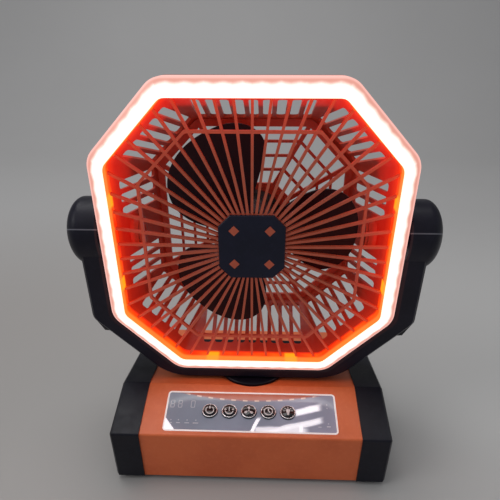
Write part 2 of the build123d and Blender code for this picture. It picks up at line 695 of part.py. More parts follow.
with BuildPart() as board_screws:
    with BuildSketch(SLOPE_FACE.offset(-BOARD_DEPTH - BOARD_THICKNESS)):
        with Locations((-BOARD_POST_X, PANEL_MIDDLE), (BOARD_POST_X, PANEL_MIDDLE)):
            Circle(2 * SCREW_RADIUS)
    extrude(amount=-1.4)
    with BuildSketch(SLOPE_FACE.offset(-BOARD_DEPTH - BOARD_THICKNESS)):
        with Locations((-BOARD_POST_X, PANEL_MIDDLE), (BOARD_POST_X, PANEL_MIDDLE)):
            Circle(SCREW_RADIUS)
    extrude(amount=BOARD_THICKNESS + BOARD_DEPTH - BASE_WALL - 1.0)
save(board_screws, "board_screws")

# ================================================================ base: battery and charging
CELL_PITCH = 2 * CELL_RADIUS + CLEAR
CELL_LEVEL = COVER_TOP + TRAY_WALL + CELL_RADIUS
CELL_FIRST_Y = FRONT_Y + BASE_WALL + CELL_FRONT_GAP + TRAY_WALL + CELL_RADIUS
CELL_MIDDLE_Y = CELL_FIRST_Y + CELL_PITCH * (CELL_ROWS - 1) / 2

with BuildPart() as battery_cells:
    with BuildSketch(Plane.YZ.offset(CLEAR)):
        with Locations((CELL_MIDDLE_Y, CELL_LEVEL)):
            with GridLocations(CELL_PITCH, 0, CELL_ROWS, 1):
                Circle(CELL_RADIUS)
    extrude(amount=CELL_LENGTH)
    with BuildSketch(Plane.YZ.offset(-CLEAR)):
        with Locations((CELL_MIDDLE_Y, CELL_LEVEL)):
            with GridLocations(CELL_PITCH, 0, CELL_ROWS, 1):
                Circle(CELL_RADIUS)
    extrude(amount=-CELL_LENGTH)
save(battery_cells, "battery_cells")

with BuildPart() as battery_tray:
    inside_x = 2 * (CELL_LENGTH + 2 * CLEAR)
    inside_y = CELL_PITCH * (CELL_ROWS - 1) + 2 * CELL_RADIUS + 2 * RUN_FIT
    with BuildSketch(Plane.XY.offset(COVER_TOP)):
        with Locations((0, CELL_MIDDLE_Y)):
            Rectangle(inside_x + 2 * TRAY_WALL, inside_y + 2 * TRAY_WALL)
    extrude(amount=TRAY_WALL + CELL_RADIUS)
    with BuildSketch(Plane.XY.offset(COVER_TOP + TRAY_WALL)):
        with Locations((0, CELL_MIDDLE_Y)):
            Rectangle(inside_x, inside_y)
    extrude(amount=CELL_RADIUS, mode=Mode.SUBTRACT)
save(battery_tray, "battery_tray")

POWER_BOARD_Y = BACK_Y - BASE_WALL - CLEAR - POWER_BOARD_LENGTH / 2
SOCKET_FLOOR = SOCKET_LEVEL - USB_A_SIZE[1] / 2
with BuildPart() as power_board:
    with BuildSketch(Plane.XY.offset(SOCKET_FLOOR)):
        with Locations((0, POWER_BOARD_Y)):
            Rectangle(POWER_BOARD_WIDTH, POWER_BOARD_LENGTH)
    extrude(amount=-BOARD_THICKNESS)
    # stand-offs down to the cover
    with BuildSketch(Plane.XY.offset(SOCKET_FLOOR - BOARD_THICKNESS)):
        with Locations((0, POWER_BOARD_Y)):
            with GridLocations(POWER_BOARD_WIDTH - 8, POWER_BOARD_LENGTH - 8, 2, 2):
                Circle(2.5)
    extrude(amount=-(SOCKET_FLOOR - BOARD_THICKNESS - COVER_TOP))
save(power_board, "power_board")

with BuildPart() as usb_a_socket:
    with BuildSketch(Plane.XZ.offset(-(BACK_Y - PORT_RECESS))):
        with Locations((USB_A_X, SOCKET_LEVEL)):
            Rectangle(*USB_A_SIZE)
    extrude(amount=USB_A_SIZE[0])
    with BuildSketch(Plane.XZ.offset(-(BACK_Y - PORT_RECESS))):
        with Locations((USB_A_X, SOCKET_LEVEL)):
            Rectangle(USB_A_SIZE[0] - 2 * SOCKET_SHELL, USB_A_SIZE[1] - 2 * SOCKET_SHELL)
            with Locations((0, 1.0)):
                Rectangle(11.0, 1.8, mode=Mode.SUBTRACT)
    extrude(amount=11.0, mode=Mode.SUBTRACT)
save(usb_a_socket, "usb_a_socket")

with BuildPart() as usb_c_socket:
    with BuildSketch(Plane.XZ.offset(-(BACK_Y - PORT_RECESS))):
        with Locations((USB_C_X, SOCKET_LEVEL)):
            SlotOverall(*USB_C_SIZE)
    extrude(amount=8.0)
    with BuildSketch(Plane.XZ.offset(-(BACK_Y - PORT_RECESS))):
        with Locations((USB_C_X, SOCKET_LEVEL)):
            SlotOverall(USB_C_SIZE[0] - 2 * USB_C_SHELL, USB_C_SIZE[1] - 2 * USB_C_SHELL)
            Rectangle(6.4, 0.7, mode=Mode.SUBTRACT)
    extrude(amount=6.5, mode=Mode.SUBTRACT)
    # block that seats the socket on the board
    with BuildSketch(Plane.XY.offset(SOCKET_FLOOR)):
        with Locations((USB_C_X, BACK_Y - PORT_RECESS - 5.0)):
            Rectangle(6.0, 4.0)
    extrude(amount=SOCKET_LEVEL - USB_C_SIZE[1] / 2 + USB_C_SHELL / 2 - SOCKET_FLOOR)
save(usb_c_socket, "usb_c_socket")

with BuildPart() as port_cover:
    flap_top = PORT_LEVEL + PORT_HEIGHT / 2 - CLEAR
    with BuildSketch(Plane.XZ.offset(FLAP_SINK - BACK_Y)):
        with Locations((0, (FLAP_Z + flap_top) / 2)):
            Rectangle(PORT_WIDTH - 2 * CLEAR, flap_top - FLAP_Z)
    extrude(amount=FLAP_THICKNESS)
    # rounded hinge edge with its two pins
    with BuildSketch(Plane.YZ):
        with Locations((FLAP_Y, FLAP_Z)):
            Circle(FLAP_THICKNESS / 2)
    extrude(amount=PORT_WIDTH / 2 - CLEAR, both=True)
    with BuildSketch(Plane.YZ):
        with Locations((FLAP_Y, FLAP_Z)):
            Circle(FLAP_PIN)
    extrude(amount=PORT_WIDTH / 2 + 1.2, both=True)
    # finger lip along the top edge
    with BuildSketch(Plane.XZ.offset(FLAP_SINK - BACK_Y)):
        with Locations((0, flap_top - 1.5)):
            SlotOverall(12.0, 1.6)
    extrude(amount=-0.8)
save(port_cover, "port_cover")

# ================================================================ base: swing drive
with BuildPart() as swivel_bush:
    with BuildSketch(Plane.XY.offset(SEAT_LEVEL)):
        Circle(BUSH_RADIUS)
        Circle(SPINDLE_RADIUS + RUN_FIT, mode=Mode.SUBTRACT)
    extrude(amount=-BUSH_LENGTH)
save(swivel_bush, "swivel_bush")

with BuildPart() as swing_motor:
    with BuildSketch(Plane.XY.offset(FLANGE_TOP)):
        with Locations((0, PINION_Y)):
            SlotOverall(2 * SWING_SCREW_X + 9, 9)
            with Locations((-SWING_SCREW_X, 0), (SWING_SCREW_X, 0)):
                Circle(SCREW_RADIUS + SCREW_CLEAR, mode=Mode.SUBTRACT)
    extrude(amount=-SWING_FLANGE)
    with BuildSketch(Plane.XY.offset(FLANGE_TOP)):
        with Locations((0, PINION_Y)):
            Circle(SWING_MOTOR_RADIUS)
    extrude(amount=-SWING_MOTOR_HEIGHT)
    with BuildSketch(Plane.XY.offset(FLANGE_TOP)):
        with Locations((0, PINION_Y)):
            Circle(MOTOR_SHAFT_RADIUS + RUN_FIT)
    extrude(amount=-SWING_MOTOR_HEIGHT + 3, mode=Mode.SUBTRACT)
save(swing_motor, "swing_motor")

with BuildPart() as swing_motor_screws:
    with BuildSketch(Plane.XY.offset(FLANGE_TOP - SWING_FLANGE)):
        with Locations((-SWING_SCREW_X, PINION_Y), (SWING_SCREW_X, PINION_Y)):
            Circle(2 * SCREW_RADIUS)
    extrude(amount=-1.6)
    with BuildSketch(Plane.XY.offset(FLANGE_TOP - SWING_FLANGE)):
        with Locations((-SWING_SCREW_X, PINION_Y), (SWING_SCREW_X, PINION_Y)):
            Circle(SCREW_RADIUS)
    extrude(amount=8)
save(swing_motor_screws, "swing_motor_screws")

with BuildPart() as swing_pinion:
    with BuildSketch(Plane.XY.offset(GEAR_BOTTOM)):
        with Locations((0, PINION_Y)):
            Circle(MOTOR_SHAFT_RADIUS)
    extrude(amount=-SWING_MOTOR_HEIGHT + 6)
    with BuildSketch(Plane(origin=(0, PINION_Y, GEAR_BOTTOM))):
        gear_face(PINION_TEETH, 180 / PINION_TEETH)
    extrude(amount=GEAR_THICKNESS)
save(swing_pinion, "swing_pinion")

# ================================================================ yoke: turntable
with BuildPart() as swivel_disc:
    with BuildSketch(Plane.XY.offset(SEAT_LEVEL + CLEAR)):
        Circle(DISC_RADIUS)
        Circle(CABLE_RADIUS, mode=Mode.SUBTRACT)
    extrude(amount=YOKE_BOTTOM - SEAT_LEVEL - CLEAR)
    chamfer(edges().filter_by(GeomType.CIRCLE).filter_by(lambda e: e.radius > CABLE_RADIUS + 1), 0.6)
    with BuildSketch(Plane.XY.offset(SPINDLE_END)):
        Circle(SPINDLE_RADIUS)
        Circle(CABLE_RADIUS, mode=Mode.SUBTRACT)
    extrude(amount=SEAT_LEVEL + CLEAR - SPINDLE_END)
    # sunk holes for the screws that hold the yoke
    with BuildSketch(Plane.XY.offset(SEAT_LEVEL + CLEAR)):
        with GridLocations(2 * DISC_SCREW_X, 2 * DISC_SCREW_Y, 2, 2):
            Circle(SCREW_RADIUS + SCREW_CLEAR)
    extrude(amount=YOKE_BOTTOM - SEAT_LEVEL, mode=Mode.SUBTRACT)
    with BuildSketch(Plane.XY.offset(SEAT_LEVEL + CLEAR)):
        with GridLocations(2 * DISC_SCREW_X, 2 * DISC_SCREW_Y, 2, 2):
            Circle(2 * SCREW_RADIUS + SCREW_CLEAR)
    extrude(amount=1.4, mode=Mode.SUBTRACT)
save(swivel_disc, "swivel_disc")

with BuildPart() as swivel_screws:
    with BuildSketch(Plane.XY.offset(SEAT_LEVEL + CLEAR)):
        with GridLocations(2 * DISC_SCREW_X, 2 * DISC_SCREW_Y, 2, 2):
            Circle(2 * SCREW_RADIUS)
    extrude(amount=1.4)
    with BuildSketch(Plane.XY.offset(SEAT_LEVEL + CLEAR)):
        with GridLocations(2 * DISC_SCREW_X, 2 * DISC_SCREW_Y, 2, 2):
            Circle(SCREW_RADIUS)
    extrude(amount=YOKE_BOTTOM - SEAT_LEVEL + 6)
save(swivel_screws, "swivel_screws")

with BuildPart() as swing_gear:
    with BuildSketch(Plane.XY.offset(GEAR_BOTTOM)):
        gear_face(GEAR_TEETH, 0)
        Circle(SPINDLE_RADIUS, mode=Mode.SUBTRACT)
        with PolarLocations(15.0, 6):
            Circle(2.6, mode=Mode.SUBTRACT)
    extrude(amount=GEAR_THICKNESS)
save(swing_gear, "swing_gear")

with BuildPart() as swivel_nut:
    with BuildSketch(Plane.XY.offset(GEAR_BOTTOM)):
        RegularPolygon(NUT_RADIUS, 6)
        Circle(SPINDLE_RADIUS, mode=Mode.SUBTRACT)
    extrude(amount=-NUT_THICKNESS)
save(swivel_nut, "swivel_nut")

# ================================================================ yoke: shells
with BuildPart() as yoke_body:
    with BuildSketch(Plane.XZ):
        filled_outline(yoke_points(), yoke_radii())
    extrude(amount=YOKE_HALF_DEPTH, both=True)
    ends = faces().filter_by(Axis.Y)
    chamfer(ends.edges().filter_by(lambda e: e.center().Z < PIVOT_HEIGHT - 1), YOKE_CHAMFER)
    for side in (-1, 1):
        with BuildSketch(head_plane(0)):
            drum_section(side)
        revolve(axis=TILT_AXIS)
    # cavities of the arms and of the drums
    with BuildSketch(Plane.XZ):
        filled_outline(yoke_points(YOKE_WALL), yoke_radii(YOKE_WALL))
    extrude(amount=YOKE_HALF_DEPTH - YOKE_WALL, both=True, mode=Mode.SUBTRACT)
    for side in (-1, 1):
        with BuildSketch(head_plane(0)):
            drum_section(side, YOKE_WALL)
        revolve(axis=TILT_AXIS, mode=Mode.SUBTRACT)
    # bosses for the screws that join the two shells, and for those that hold the disc
    with BuildSketch(Plane.XZ):
        with Locations(*YOKE_SCREWS):
            Circle(BOSS_RADIUS)
    extrude(amount=YOKE_HALF_DEPTH - YOKE_WALL / 2, both=True)
    with BuildSketch(Plane.XY.offset(YOKE_BOTTOM)):
        with GridLocations(2 * DISC_SCREW_X, 2 * DISC_SCREW_Y, 2, 2):
            Circle(BOSS_RADIUS)
    extrude(amount=BEAM_TOP - YOKE_BOTTOM - YOKE_WALL / 2)
    # collars that hold the tilt bushes
    for side in (-1, 1):
        with BuildSketch(Plane.YZ.offset(side * (ARM_INNER + YOKE_WALL / 2))):
            with Locations((0, PIVOT_HEIGHT)):
                Circle(TILT_BUSH_RADIUS + YOKE_WALL)
        extrude(amount=side * (TILT_BUSH_LENGTH - YOKE_WALL / 2))
        with BuildSketch(Plane.YZ.offset(side * (ARM_INNER - 1))):
            with Locations((0, PIVOT_HEIGHT)):
                Circle(TILT_BUSH_RADIUS + RUN_FIT)
        extrude(amount=side * (TILT_BUSH_LENGTH + 2), mode=Mode.SUBTRACT)
    # way for the cable, down into the hollow spindle
    with BuildSketch(Plane.XY.offset(YOKE_BOTTOM)):
        Circle(CABLE_RADIUS)
        with GridLocations(2 * DISC_SCREW_X, 2 * DISC_SCREW_Y, 2, 2):
            Circle(SCREW_RADIUS + RUN_FIT)
    extrude(amount=YOKE_WALL + 4.5, mode=Mode.SUBTRACT)

with BuildPart() as yoke_front_shell:
    add(yoke_body.part)
    split(bisect_by=SEAM_PLANE, keep=Keep.BOTTOM)
    split(bisect_by=Plane.XZ, keep=Keep.TOP)
    with BuildSketch(Plane.XZ):
        with Locations(*YOKE_SCREWS):
            Circle(SCREW_RADIUS + RUN_FIT)
    extrude(amount=YOKE_HALF_DEPTH - 2 * YOKE_WALL, mode=Mode.SUBTRACT)
save(yoke_front_shell, "yoke_front_shell")

with BuildPart() as yoke_rear_shell:
    add(yoke_body.part)
    split(bisect_by=SEAM_PLANE, keep=Keep.BOTTOM)
    split(bisect_by=Plane.XZ, keep=Keep.BOTTOM)
    with BuildSketch(Plane.XZ.offset(-YOKE_HALF_DEPTH)):
        with Locations(*YOKE_SCREWS):
            Circle(SCREW_RADIUS + SCREW_CLEAR)
    extrude(amount=YOKE_HALF_DEPTH, mode=Mode.SUBTRACT)
    with BuildSketch(Plane.XZ.offset(-YOKE_HALF_DEPTH)):
        with Locations(*YOKE_SCREWS):
            Circle(2 * SCREW_RADIUS + SCREW_CLEAR)
    extrude(amount=YOKE_SCREW_SINK, mode=Mode.SUBTRACT)
save(yoke_rear_shell, "yoke_rear_shell")

for side, name in ((-1, "drum_cap_left"), (1, "drum_cap_right")):
    with BuildPart() as drum_cap:
        add(yoke_body.part)
        split(bisect_by=SEAM_PLANE, keep=Keep.TOP)
        split(bisect_by=Plane.YZ, keep=Keep.TOP if side > 0 else Keep.BOTTOM)
        # tabs that snap down behind the lower halves of the drum
        tab_face = sqrt((DRUM_RADIUS - YOKE_WALL) ** 2 - CAP_TAB**2) - RUN_FIT
        tab_x = side * (ARM_OUTER - TAB_SETBACK)
        with Locations(SEAM_PLANE.location):
            for front in (-1, 1):
                with Locations((tab_x, front * (tab_face - TAB_THICKNESS / 2), 0)):
                    Box(TAB_WIDTH, TAB_THICKNESS, 2 * CAP_TAB)
                with Locations((tab_x, front * tab_face, CAP_TAB / 2)):
                    Box(TAB_WIDTH, YOKE_WALL, CAP_TAB)
    save(drum_cap, name)

with BuildPart() as yoke_screws:
    with BuildSketch(Plane.XZ.offset(YOKE_SCREW_SINK - YOKE_HALF_DEPTH)):
        with Locations(*YOKE_SCREWS):
            Circle(2 * SCREW_RADIUS)
    extrude(amount=-2)
    with BuildSketch(Plane.XZ.offset(YOKE_SCREW_SINK - YOKE_HALF_DEPTH)):
        with Locations(*YOKE_SCREWS):
            Circle(SCREW_RADIUS)
    extrude(amount=2 * YOKE_HALF_DEPTH - YOKE_SCREW_SINK - 3 * YOKE_WALL)
    with BuildSketch(Plane.XZ.offset(YOKE_SCREW_SINK - YOKE_HALF_DEPTH - 2)):
        with Locations(*YOKE_SCREWS):
            Rectangle(*SCREW_SLOT)
            Rectangle(*reversed(SCREW_SLOT))
    extrude(amount=1.2, mode=Mode.SUBTRACT)
save(yoke_screws, "yoke_screws")

with BuildPart() as corner_bumpers:
    corner_x, corner_z = yoke_points()[1]
    for side in (-1, 1):
        with BuildSketch(Plane.XZ):
            Polygon(*[(side * (corner_x + x), corner_z + z) for x, z in BUMPER_OUTLINE], align=None)
        extrude(amount=BUMPER_HALF_DEPTH, both=True)
    chamfer(faces().filter_by(Axis.Y).edges(), BUMPER_EDGE)
save(corner_bumpers, "corner_bumpers")

with BuildPart() as tilt_bushes:
    for side in (-1, 1):
        with BuildSketch(Plane.YZ.offset(side * ARM_INNER)):
            with Locations((0, PIVOT_HEIGHT)):
                Circle(TILT_BUSH_RADIUS)
                Circle(JOURNAL_RADIUS + RUN_FIT, mode=Mode.SUBTRACT)
        extrude(amount=side * TILT_BUSH_LENGTH)
save(tilt_bushes, "tilt_bushes")

with BuildPart() as tilt_washers:
    for side in (-1, 1):
        with BuildSketch(Plane.YZ.offset(side * (PAD_OUTER + CLEAR))):
            with Locations((0, PIVOT_HEIGHT)):
                Circle(WASHER_RADIUS)
                Circle(JOURNAL_RADIUS + RUN_FIT, mode=Mode.SUBTRACT)
        extrude(amount=side * (ARM_INNER - PAD_OUTER - CLEAR))
save(tilt_washers, "tilt_washers")

# ================================================================ head: housing
SIDE_ANGLES = [45 * i for i in range(8)]
POST_FLAT = POST_HALF - ring_cut(POST_HALF)
POSTS = [(a * POST_HALF, b * POST_FLAT) for a in (-1, 1) for b in (-1, 1)]
POSTS = POSTS + [(x, y) for y, x in POSTS]

with BuildPart() as rear_housing:
    # skirt, web and inner lip of the light ring's channel
    with BuildSketch(head_plane(WEB_BACK)):
        octagon(HEAD_HALF)
        octagon(HEAD_HALF - LENS_WALL, mode=Mode.SUBTRACT)
    extrude(amount=WEB_BACK - SKIRT_BACK)
    with BuildSketch(head_plane(WEB_BACK)):
        octagon(HEAD_HALF)
        octagon(RING_INNER, mode=Mode.SUBTRACT)
    extrude(amount=WEB_THICKNESS)
    # funnel that narrows to the rear
    with BuildSketch(head_plane(FUNNEL_FRONT)):
        octagon(RING_INNER + SHELL_WALL)
    with BuildSketch(head_plane(REAR_DEPTH)):
        octagon(REAR_HALF, cut=rear_cut(REAR_HALF))
    loft()
    for angle in (0, 180):
        with BuildSketch(side_plane(angle).offset(PAD_INNER)):
            Circle(TRUNNION_PAD)
        extrude(amount=PAD_OUTER - PAD_INNER)
    with BuildSketch(head_plane(FUNNEL_FRONT)):
        octagon(RING_INNER)
    with BuildSketch(head_plane(REAR_DEPTH)):
        octagon(REAR_HALF - SHELL_WALL, cut=rear_cut(REAR_HALF) - SHELL_WALL * (2 - sqrt(2)))
    loft(mode=Mode.SUBTRACT)
    for angle in (0, 180):
        with BuildSketch(side_plane(angle).offset(PAD_INNER)):
            Circle(TRUNNION_PAD)
        extrude(amount=TRUNNION_PAD / 2)
        with BuildSketch(side_plane(angle).offset(PAD_INNER)):
            Circle(TRUNNION_PAD - 1 + RUN_FIT)
        extrude(amount=-2 * TRUNNION_FLANGE, mode=Mode.SUBTRACT)
        with BuildSketch(side_plane(angle).offset(PAD_INNER)):
            Circle(JOURNAL_RADIUS + RUN_FIT)
        extrude(amount=PAD_OUTER - PAD_INNER, mode=Mode.SUBTRACT)
    # rear grille: rings around a solid plate, and a rib to each corner
    with BuildSketch(head_plane(REAR_DEPTH)):
        octagon(REAR_HALF - SHELL_WALL / 2, cut=rear_cut(REAR_HALF))
    extrude(amount=REAR_GRILLE)
    with BuildSketch(head_plane(REAR_DEPTH)):
        octagon(REAR_OPEN_HALF, radius=BAR_CORNER, cut=rear_cut(REAR_OPEN_HALF))
        for i in range(REAR_RINGS):
            outer = REAR_OPEN_HALF - REAR_PITCH * (i + 1) + RING_BAR / 2
            inner = outer - RING_BAR
            octagon(outer, radius=BAR_CORNER, cut=rear_cut(outer), mode=Mode.SUBTRACT)
            octagon(inner, radius=BAR_CORNER, cut=rear_cut(inner))
        octagon(REAR_PLATE_HALF, radius=BAR_CORNER, cut=rear_cut(REAR_PLATE_HALF), mode=Mode.SUBTRACT)
        with Locations(*[Rotation(0, 0, turn) for turn in REAR_RIB_TURNS]):
            Rectangle(2 * HEAD_HALF, REAR_RIB, mode=Mode.SUBTRACT)
    extrude(amount=REAR_GRILLE, mode=Mode.SUBTRACT)
    # slots along the eight sides of the funnel; the pads of the journals stay solid
    for angle in SIDE_ANGLES:
        count = CORNER_SLOTS if angle % 90 else SIDE_SLOTS
        offsets = [SLOT_PITCH * (i - (count - 1) / 2) for i in range(count)]
        if angle in (0, 180):
            offsets = [t for t in offsets if abs(t) > TRUNNION_PAD]
        with BuildSketch(side_plane(angle).offset(REAR_HALF / 2)):
            with Locations(*[(t, -(SLOT_FRONT + SLOT_BACK) / 2) for t in offsets]):
                RectangleRounded(SLOT_WIDTH, SLOT_BACK - SLOT_FRONT, SLOT_CORNER)
        extrude(amount=REAR_HALF, mode=Mode.SUBTRACT)
    # seat of the rear bearing, screw holes of the motor and of the lens
    with BuildSketch(head_plane(REAR_INNER_Y)):
        Circle(BEARING_RADIUS + MOTOR_WALL)
    extrude(amount=BEARING_WIDTH)
    with BuildSketch(head_plane(REAR_INNER_Y)):
        Circle(BEARING_RADIUS)
    extrude(amount=BEARING_WIDTH, mode=Mode.SUBTRACT)
    with BuildSketch(head_plane(REAR_DEPTH)):
        with PolarLocations(MOTOR_SCREW_RADIUS, MOTOR_SCREWS, start_angle=45):
            Circle(SCREW_RADIUS + SCREW_CLEAR)
    extrude(amount=REAR_GRILLE, mode=Mode.SUBTRACT)
    with BuildSketch(head_plane(REAR_DEPTH)):
        with PolarLocations(MOTOR_SCREW_RADIUS, MOTOR_SCREWS, start_angle=45):
            Circle(2 * SCREW_RADIUS + SCREW_CLEAR)
    extrude(amount=MOTOR_SCREW_SINK, mode=Mode.SUBTRACT)
    with BuildSketch(head_plane(WEB_BACK)):
        with Locations(*POSTS):
            Circle(SCREW_RADIUS + SCREW_CLEAR)
    extrude(amount=WEB_THICKNESS, mode=Mode.SUBTRACT)
save(rear_housing, "rear_housing")

# ================================================================ head: front
GRILLE_HALF = RING_INNER + LENS_LIP / 2
CROWN_REACH = 120.0
CROWN_TOP_Y = -SPOKE_FRONT - SPOKE_CROWN
CROWN_EDGE_Y = CROWN_TOP_Y + SPOKE_CROWN * (CROWN_REACH / RING_INNER) ** 2
CROWN_MIDDLE_Y = CROWN_TOP_Y + SPOKE_CROWN * (CROWN_REACH / RING_INNER / 2) ** 2

with BuildPart() as front_grille:
    with BuildSketch(head_plane(0)):
        outer = GRILLE_RING_HALF + RING_BAR / 2
        inner = GRILLE_RING_HALF - RING_BAR / 2
        octagon(outer, radius=BAR_CORNER, cut=grille_cut(outer))
        octagon(inner, radius=BAR_CORNER, cut=grille_cut(inner), mode=Mode.SUBTRACT)
        with PolarLocations(0, SPOKES // 2, start_angle=90, angular_range=180):
            Rectangle(4 * HEAD_HALF, SPOKE_WIDTH)
        octagon(GRILLE_HALF, mode=Mode.INTERSECT)
    extrude(amount=2 * LENS_FRONT)
    # spokes and ring bulge towards the front
    with BuildSketch(Plane.YZ):
        front_line = [(CROWN_TOP_Y, 0), (CROWN_MIDDLE_Y, CROWN_REACH / 2), (CROWN_EDGE_Y, CROWN_REACH)]
        front = [(y, PIVOT_HEIGHT + radius) for y, radius in front_line]
        back = [(y + SPOKE_DEPTH, z) for y, z in front]
        with BuildLine():
            ThreePointArc(*front)
            Line(front[2], back[2])
            ThreePointArc(*back)
            Line(back[0], front[0])
        make_face()
    revolve(axis=HEAD_AXIS, mode=Mode.INTERSECT)
    # hub plate with four raised diamonds; the spokes end flush behind the badge
    with BuildSketch(head_plane(-PLATE_FRONT)):
        octagon(HUB_HALF, radius=HUB_CORNER, cut=HUB_CUT)
    extrude(amount=SPOKE_CROWN, mode=Mode.SUBTRACT)
    with BuildSketch(head_plane(-PLATE_FRONT)):
        octagon(HUB_HALF, radius=HUB_CORNER, cut=HUB_CUT)
    extrude(amount=-HUB_PLATE)
    with BuildSketch(head_plane(-PLATE_FRONT)):
        with GridLocations(2 * DIAMOND_OFFSET, 2 * DIAMOND_OFFSET, 2, 2):
            Rectangle(DIAMOND_SIDE, DIAMOND_SIDE, rotation=45)
    extrude(amount=BADGE_THICKNESS + DIAMOND_PROUD)
    # flange that lines the light ring
    with BuildSketch(head_plane(SKIRT_BACK)):
        octagon(RING_INNER + FLANGE_WALL)
        octagon(RING_INNER, mode=Mode.SUBTRACT)
    extrude(amount=LENS_FRONT + SKIRT_BACK - LENS_LIP_DEPTH)
save(front_grille, "front_grille")

with BuildPart() as hub_badge:
    with BuildSketch(head_plane(-PLATE_FRONT)):
        octagon(HUB_HALF, radius=HUB_CORNER, cut=HUB_CUT)
        with GridLocations(2 * DIAMOND_OFFSET, 2 * DIAMOND_OFFSET, 2, 2):
            Rectangle(DIAMOND_SIDE + 2 * RUN_FIT, DIAMOND_SIDE + 2 * RUN_FIT, rotation=45, mode=Mode.SUBTRACT)
    extrude(amount=BADGE_THICKNESS)
    chamfer(faces().sort_by(Axis.Y)[0].outer_wire().edges(), BADGE_EDGE)
save(hub_badge, "hub_badge")

LIP_HALF = RING_INNER + LENS_LIP
BEVEL_SLOPE = RING_SETBACK / (HEAD_HALF - LIP_HALF)
BEVEL_WALL = LENS_WALL * hypot(1, BEVEL_SLOPE)
INNER_HALF = HEAD_HALF - LENS_WALL
INNER_Y = RIM_Y - LENS_WALL * BEVEL_SLOPE + BEVEL_WALL
ROUNDED_OFF = RING_CORNER / cos(pi / 8) - RING_CORNER
POST_REACH = (HEAD_HALF - POST_HALF) / cos(pi / 8) - ROUNDED_OFF - POST_RADIUS
POST_END = RIM_Y - POST_REACH * BEVEL_SLOPE + 2 * CLEAR
POST_LENGTH = WEB_FRONT - POST_END

with BuildPart() as light_lens:
    with BuildSketch(head_plane(SKIRT_BACK)):
        octagon(HEAD_HALF)
    extrude(amount=SKIRT_BACK - RIM_Y)
    with BuildSketch(head_plane(RIM_Y)):
        octagon(HEAD_HALF)
    with BuildSketch(head_plane(-LENS_FRONT)):
        octagon(LIP_HALF)
    loft()
    # hollow behind the bevel
    with BuildSketch(head_plane(SKIRT_BACK)):
        octagon(INNER_HALF)
    extrude(amount=SKIRT_BACK - INNER_Y, mode=Mode.SUBTRACT)
    with BuildSketch(head_plane(INNER_Y)):
        octagon(INNER_HALF)
    with BuildSketch(head_plane(BEVEL_WALL - LENS_FRONT)):
        octagon(LIP_HALF)
    loft(mode=Mode.SUBTRACT)
    with BuildSketch(head_plane(SKIRT_BACK)):
        octagon(LIP_HALF + 2 * RUN_FIT)
    extrude(amount=LENS_FRONT + SKIRT_BACK - LENS_LIP_DEPTH, mode=Mode.SUBTRACT)
    with BuildSketch(head_plane(SKIRT_BACK)):
        octagon(RING_INNER)
    extrude(amount=LENS_FRONT, mode=Mode.SUBTRACT)
    # posts for the screws from behind
    with BuildSketch(head_plane(WEB_FRONT)):
        with Locations(*POSTS):
            Circle(POST_RADIUS)
    extrude(amount=POST_LENGTH)
    with BuildSketch(head_plane(WEB_FRONT)):
        with Locations(*POSTS):
            Circle(SCREW_RADIUS + RUN_FIT)
    extrude(amount=POST_LENGTH - LENS_WALL, mode=Mode.SUBTRACT)
save(light_lens, "light_lens")

with BuildPart() as head_screws:
    with BuildSketch(head_plane(WEB_BACK)):
        with Locations(*POSTS):
            Circle(2 * SCREW_RADIUS)
    extrude(amount=-1.6)
    with BuildSketch(head_plane(WEB_BACK)):
        with Locations(*POSTS):
            Circle(SCREW_RADIUS)
    extrude(amount=WEB_THICKNESS + POST_LENGTH - LENS_WALL - 0.5)
save(head_screws, "head_screws")

# light source: a strip on each side of the channel, with its chips
CHANNEL_HALF = (RING_INNER + FLANGE_WALL + INNER_HALF) / 2
with BuildPart() as led_strips:
    for angle in SIDE_ANGLES:
        corner_half = ring_cut(CHANNEL_HALF) / sqrt(2)
        half_length = corner_half if angle % 90 else CHANNEL_HALF - ring_cut(CHANNEL_HALF)
        with BuildSketch(head_plane(WEB_FRONT)):
            with Locations(Rotation(0, 0, angle)):
                with Locations((side_distance(CHANNEL_HALF, angle), 0)):
                    Rectangle(LED_BAND, 2 * (half_length - LED_END_GAP))
        extrude(amount=LED_PCB)
save(led_strips, "led_strips")

with BuildPart() as led_chips:
    for angle in SIDE_ANGLES:
        count = CORNER_LEDS if angle % 90 else SIDE_LEDS
        with BuildSketch(head_plane(WEB_FRONT - LED_PCB)):
            with Locations(Rotation(0, 0, angle)):
                with Locations((side_distance(CHANNEL_HALF, angle), 0)):
                    with GridLocations(0, LED_PITCH, 1, count):
                        Rectangle(LED_SIZE[1], LED_SIZE[0])
        extrude(amount=LED_SIZE[2])
save(led_chips, "led_chips")

# ================================================================ head: tilt journals
for side, name in ((-1, "trunnion_left"), (1, "trunnion_right")):
    with BuildPart() as trunnion:
        with BuildSketch(Plane.YZ.offset(side * (PAD_INNER - TRUNNION_FLANGE))):
            with Locations((0, PIVOT_HEIGHT)):
                Circle(TRUNNION_PAD - 1)
        extrude(amount=side * TRUNNION_FLANGE)
        with BuildSketch(Plane.YZ.offset(side * PAD_INNER)):
            with Locations((0, PIVOT_HEIGHT)):
                Circle(JOURNAL_RADIUS)
        extrude(amount=side * (CLIP_X + CLIP_THICKNESS + 2 - PAD_INNER))
        with BuildSketch(Plane.YZ.offset(side * (PAD_INNER - TRUNNION_FLANGE))):
            with Locations((0, PIVOT_HEIGHT)):
                Circle(JOURNAL_BORE)
        extrude(amount=side * HEAD_HALF, mode=Mode.SUBTRACT)
    save(trunnion, name)

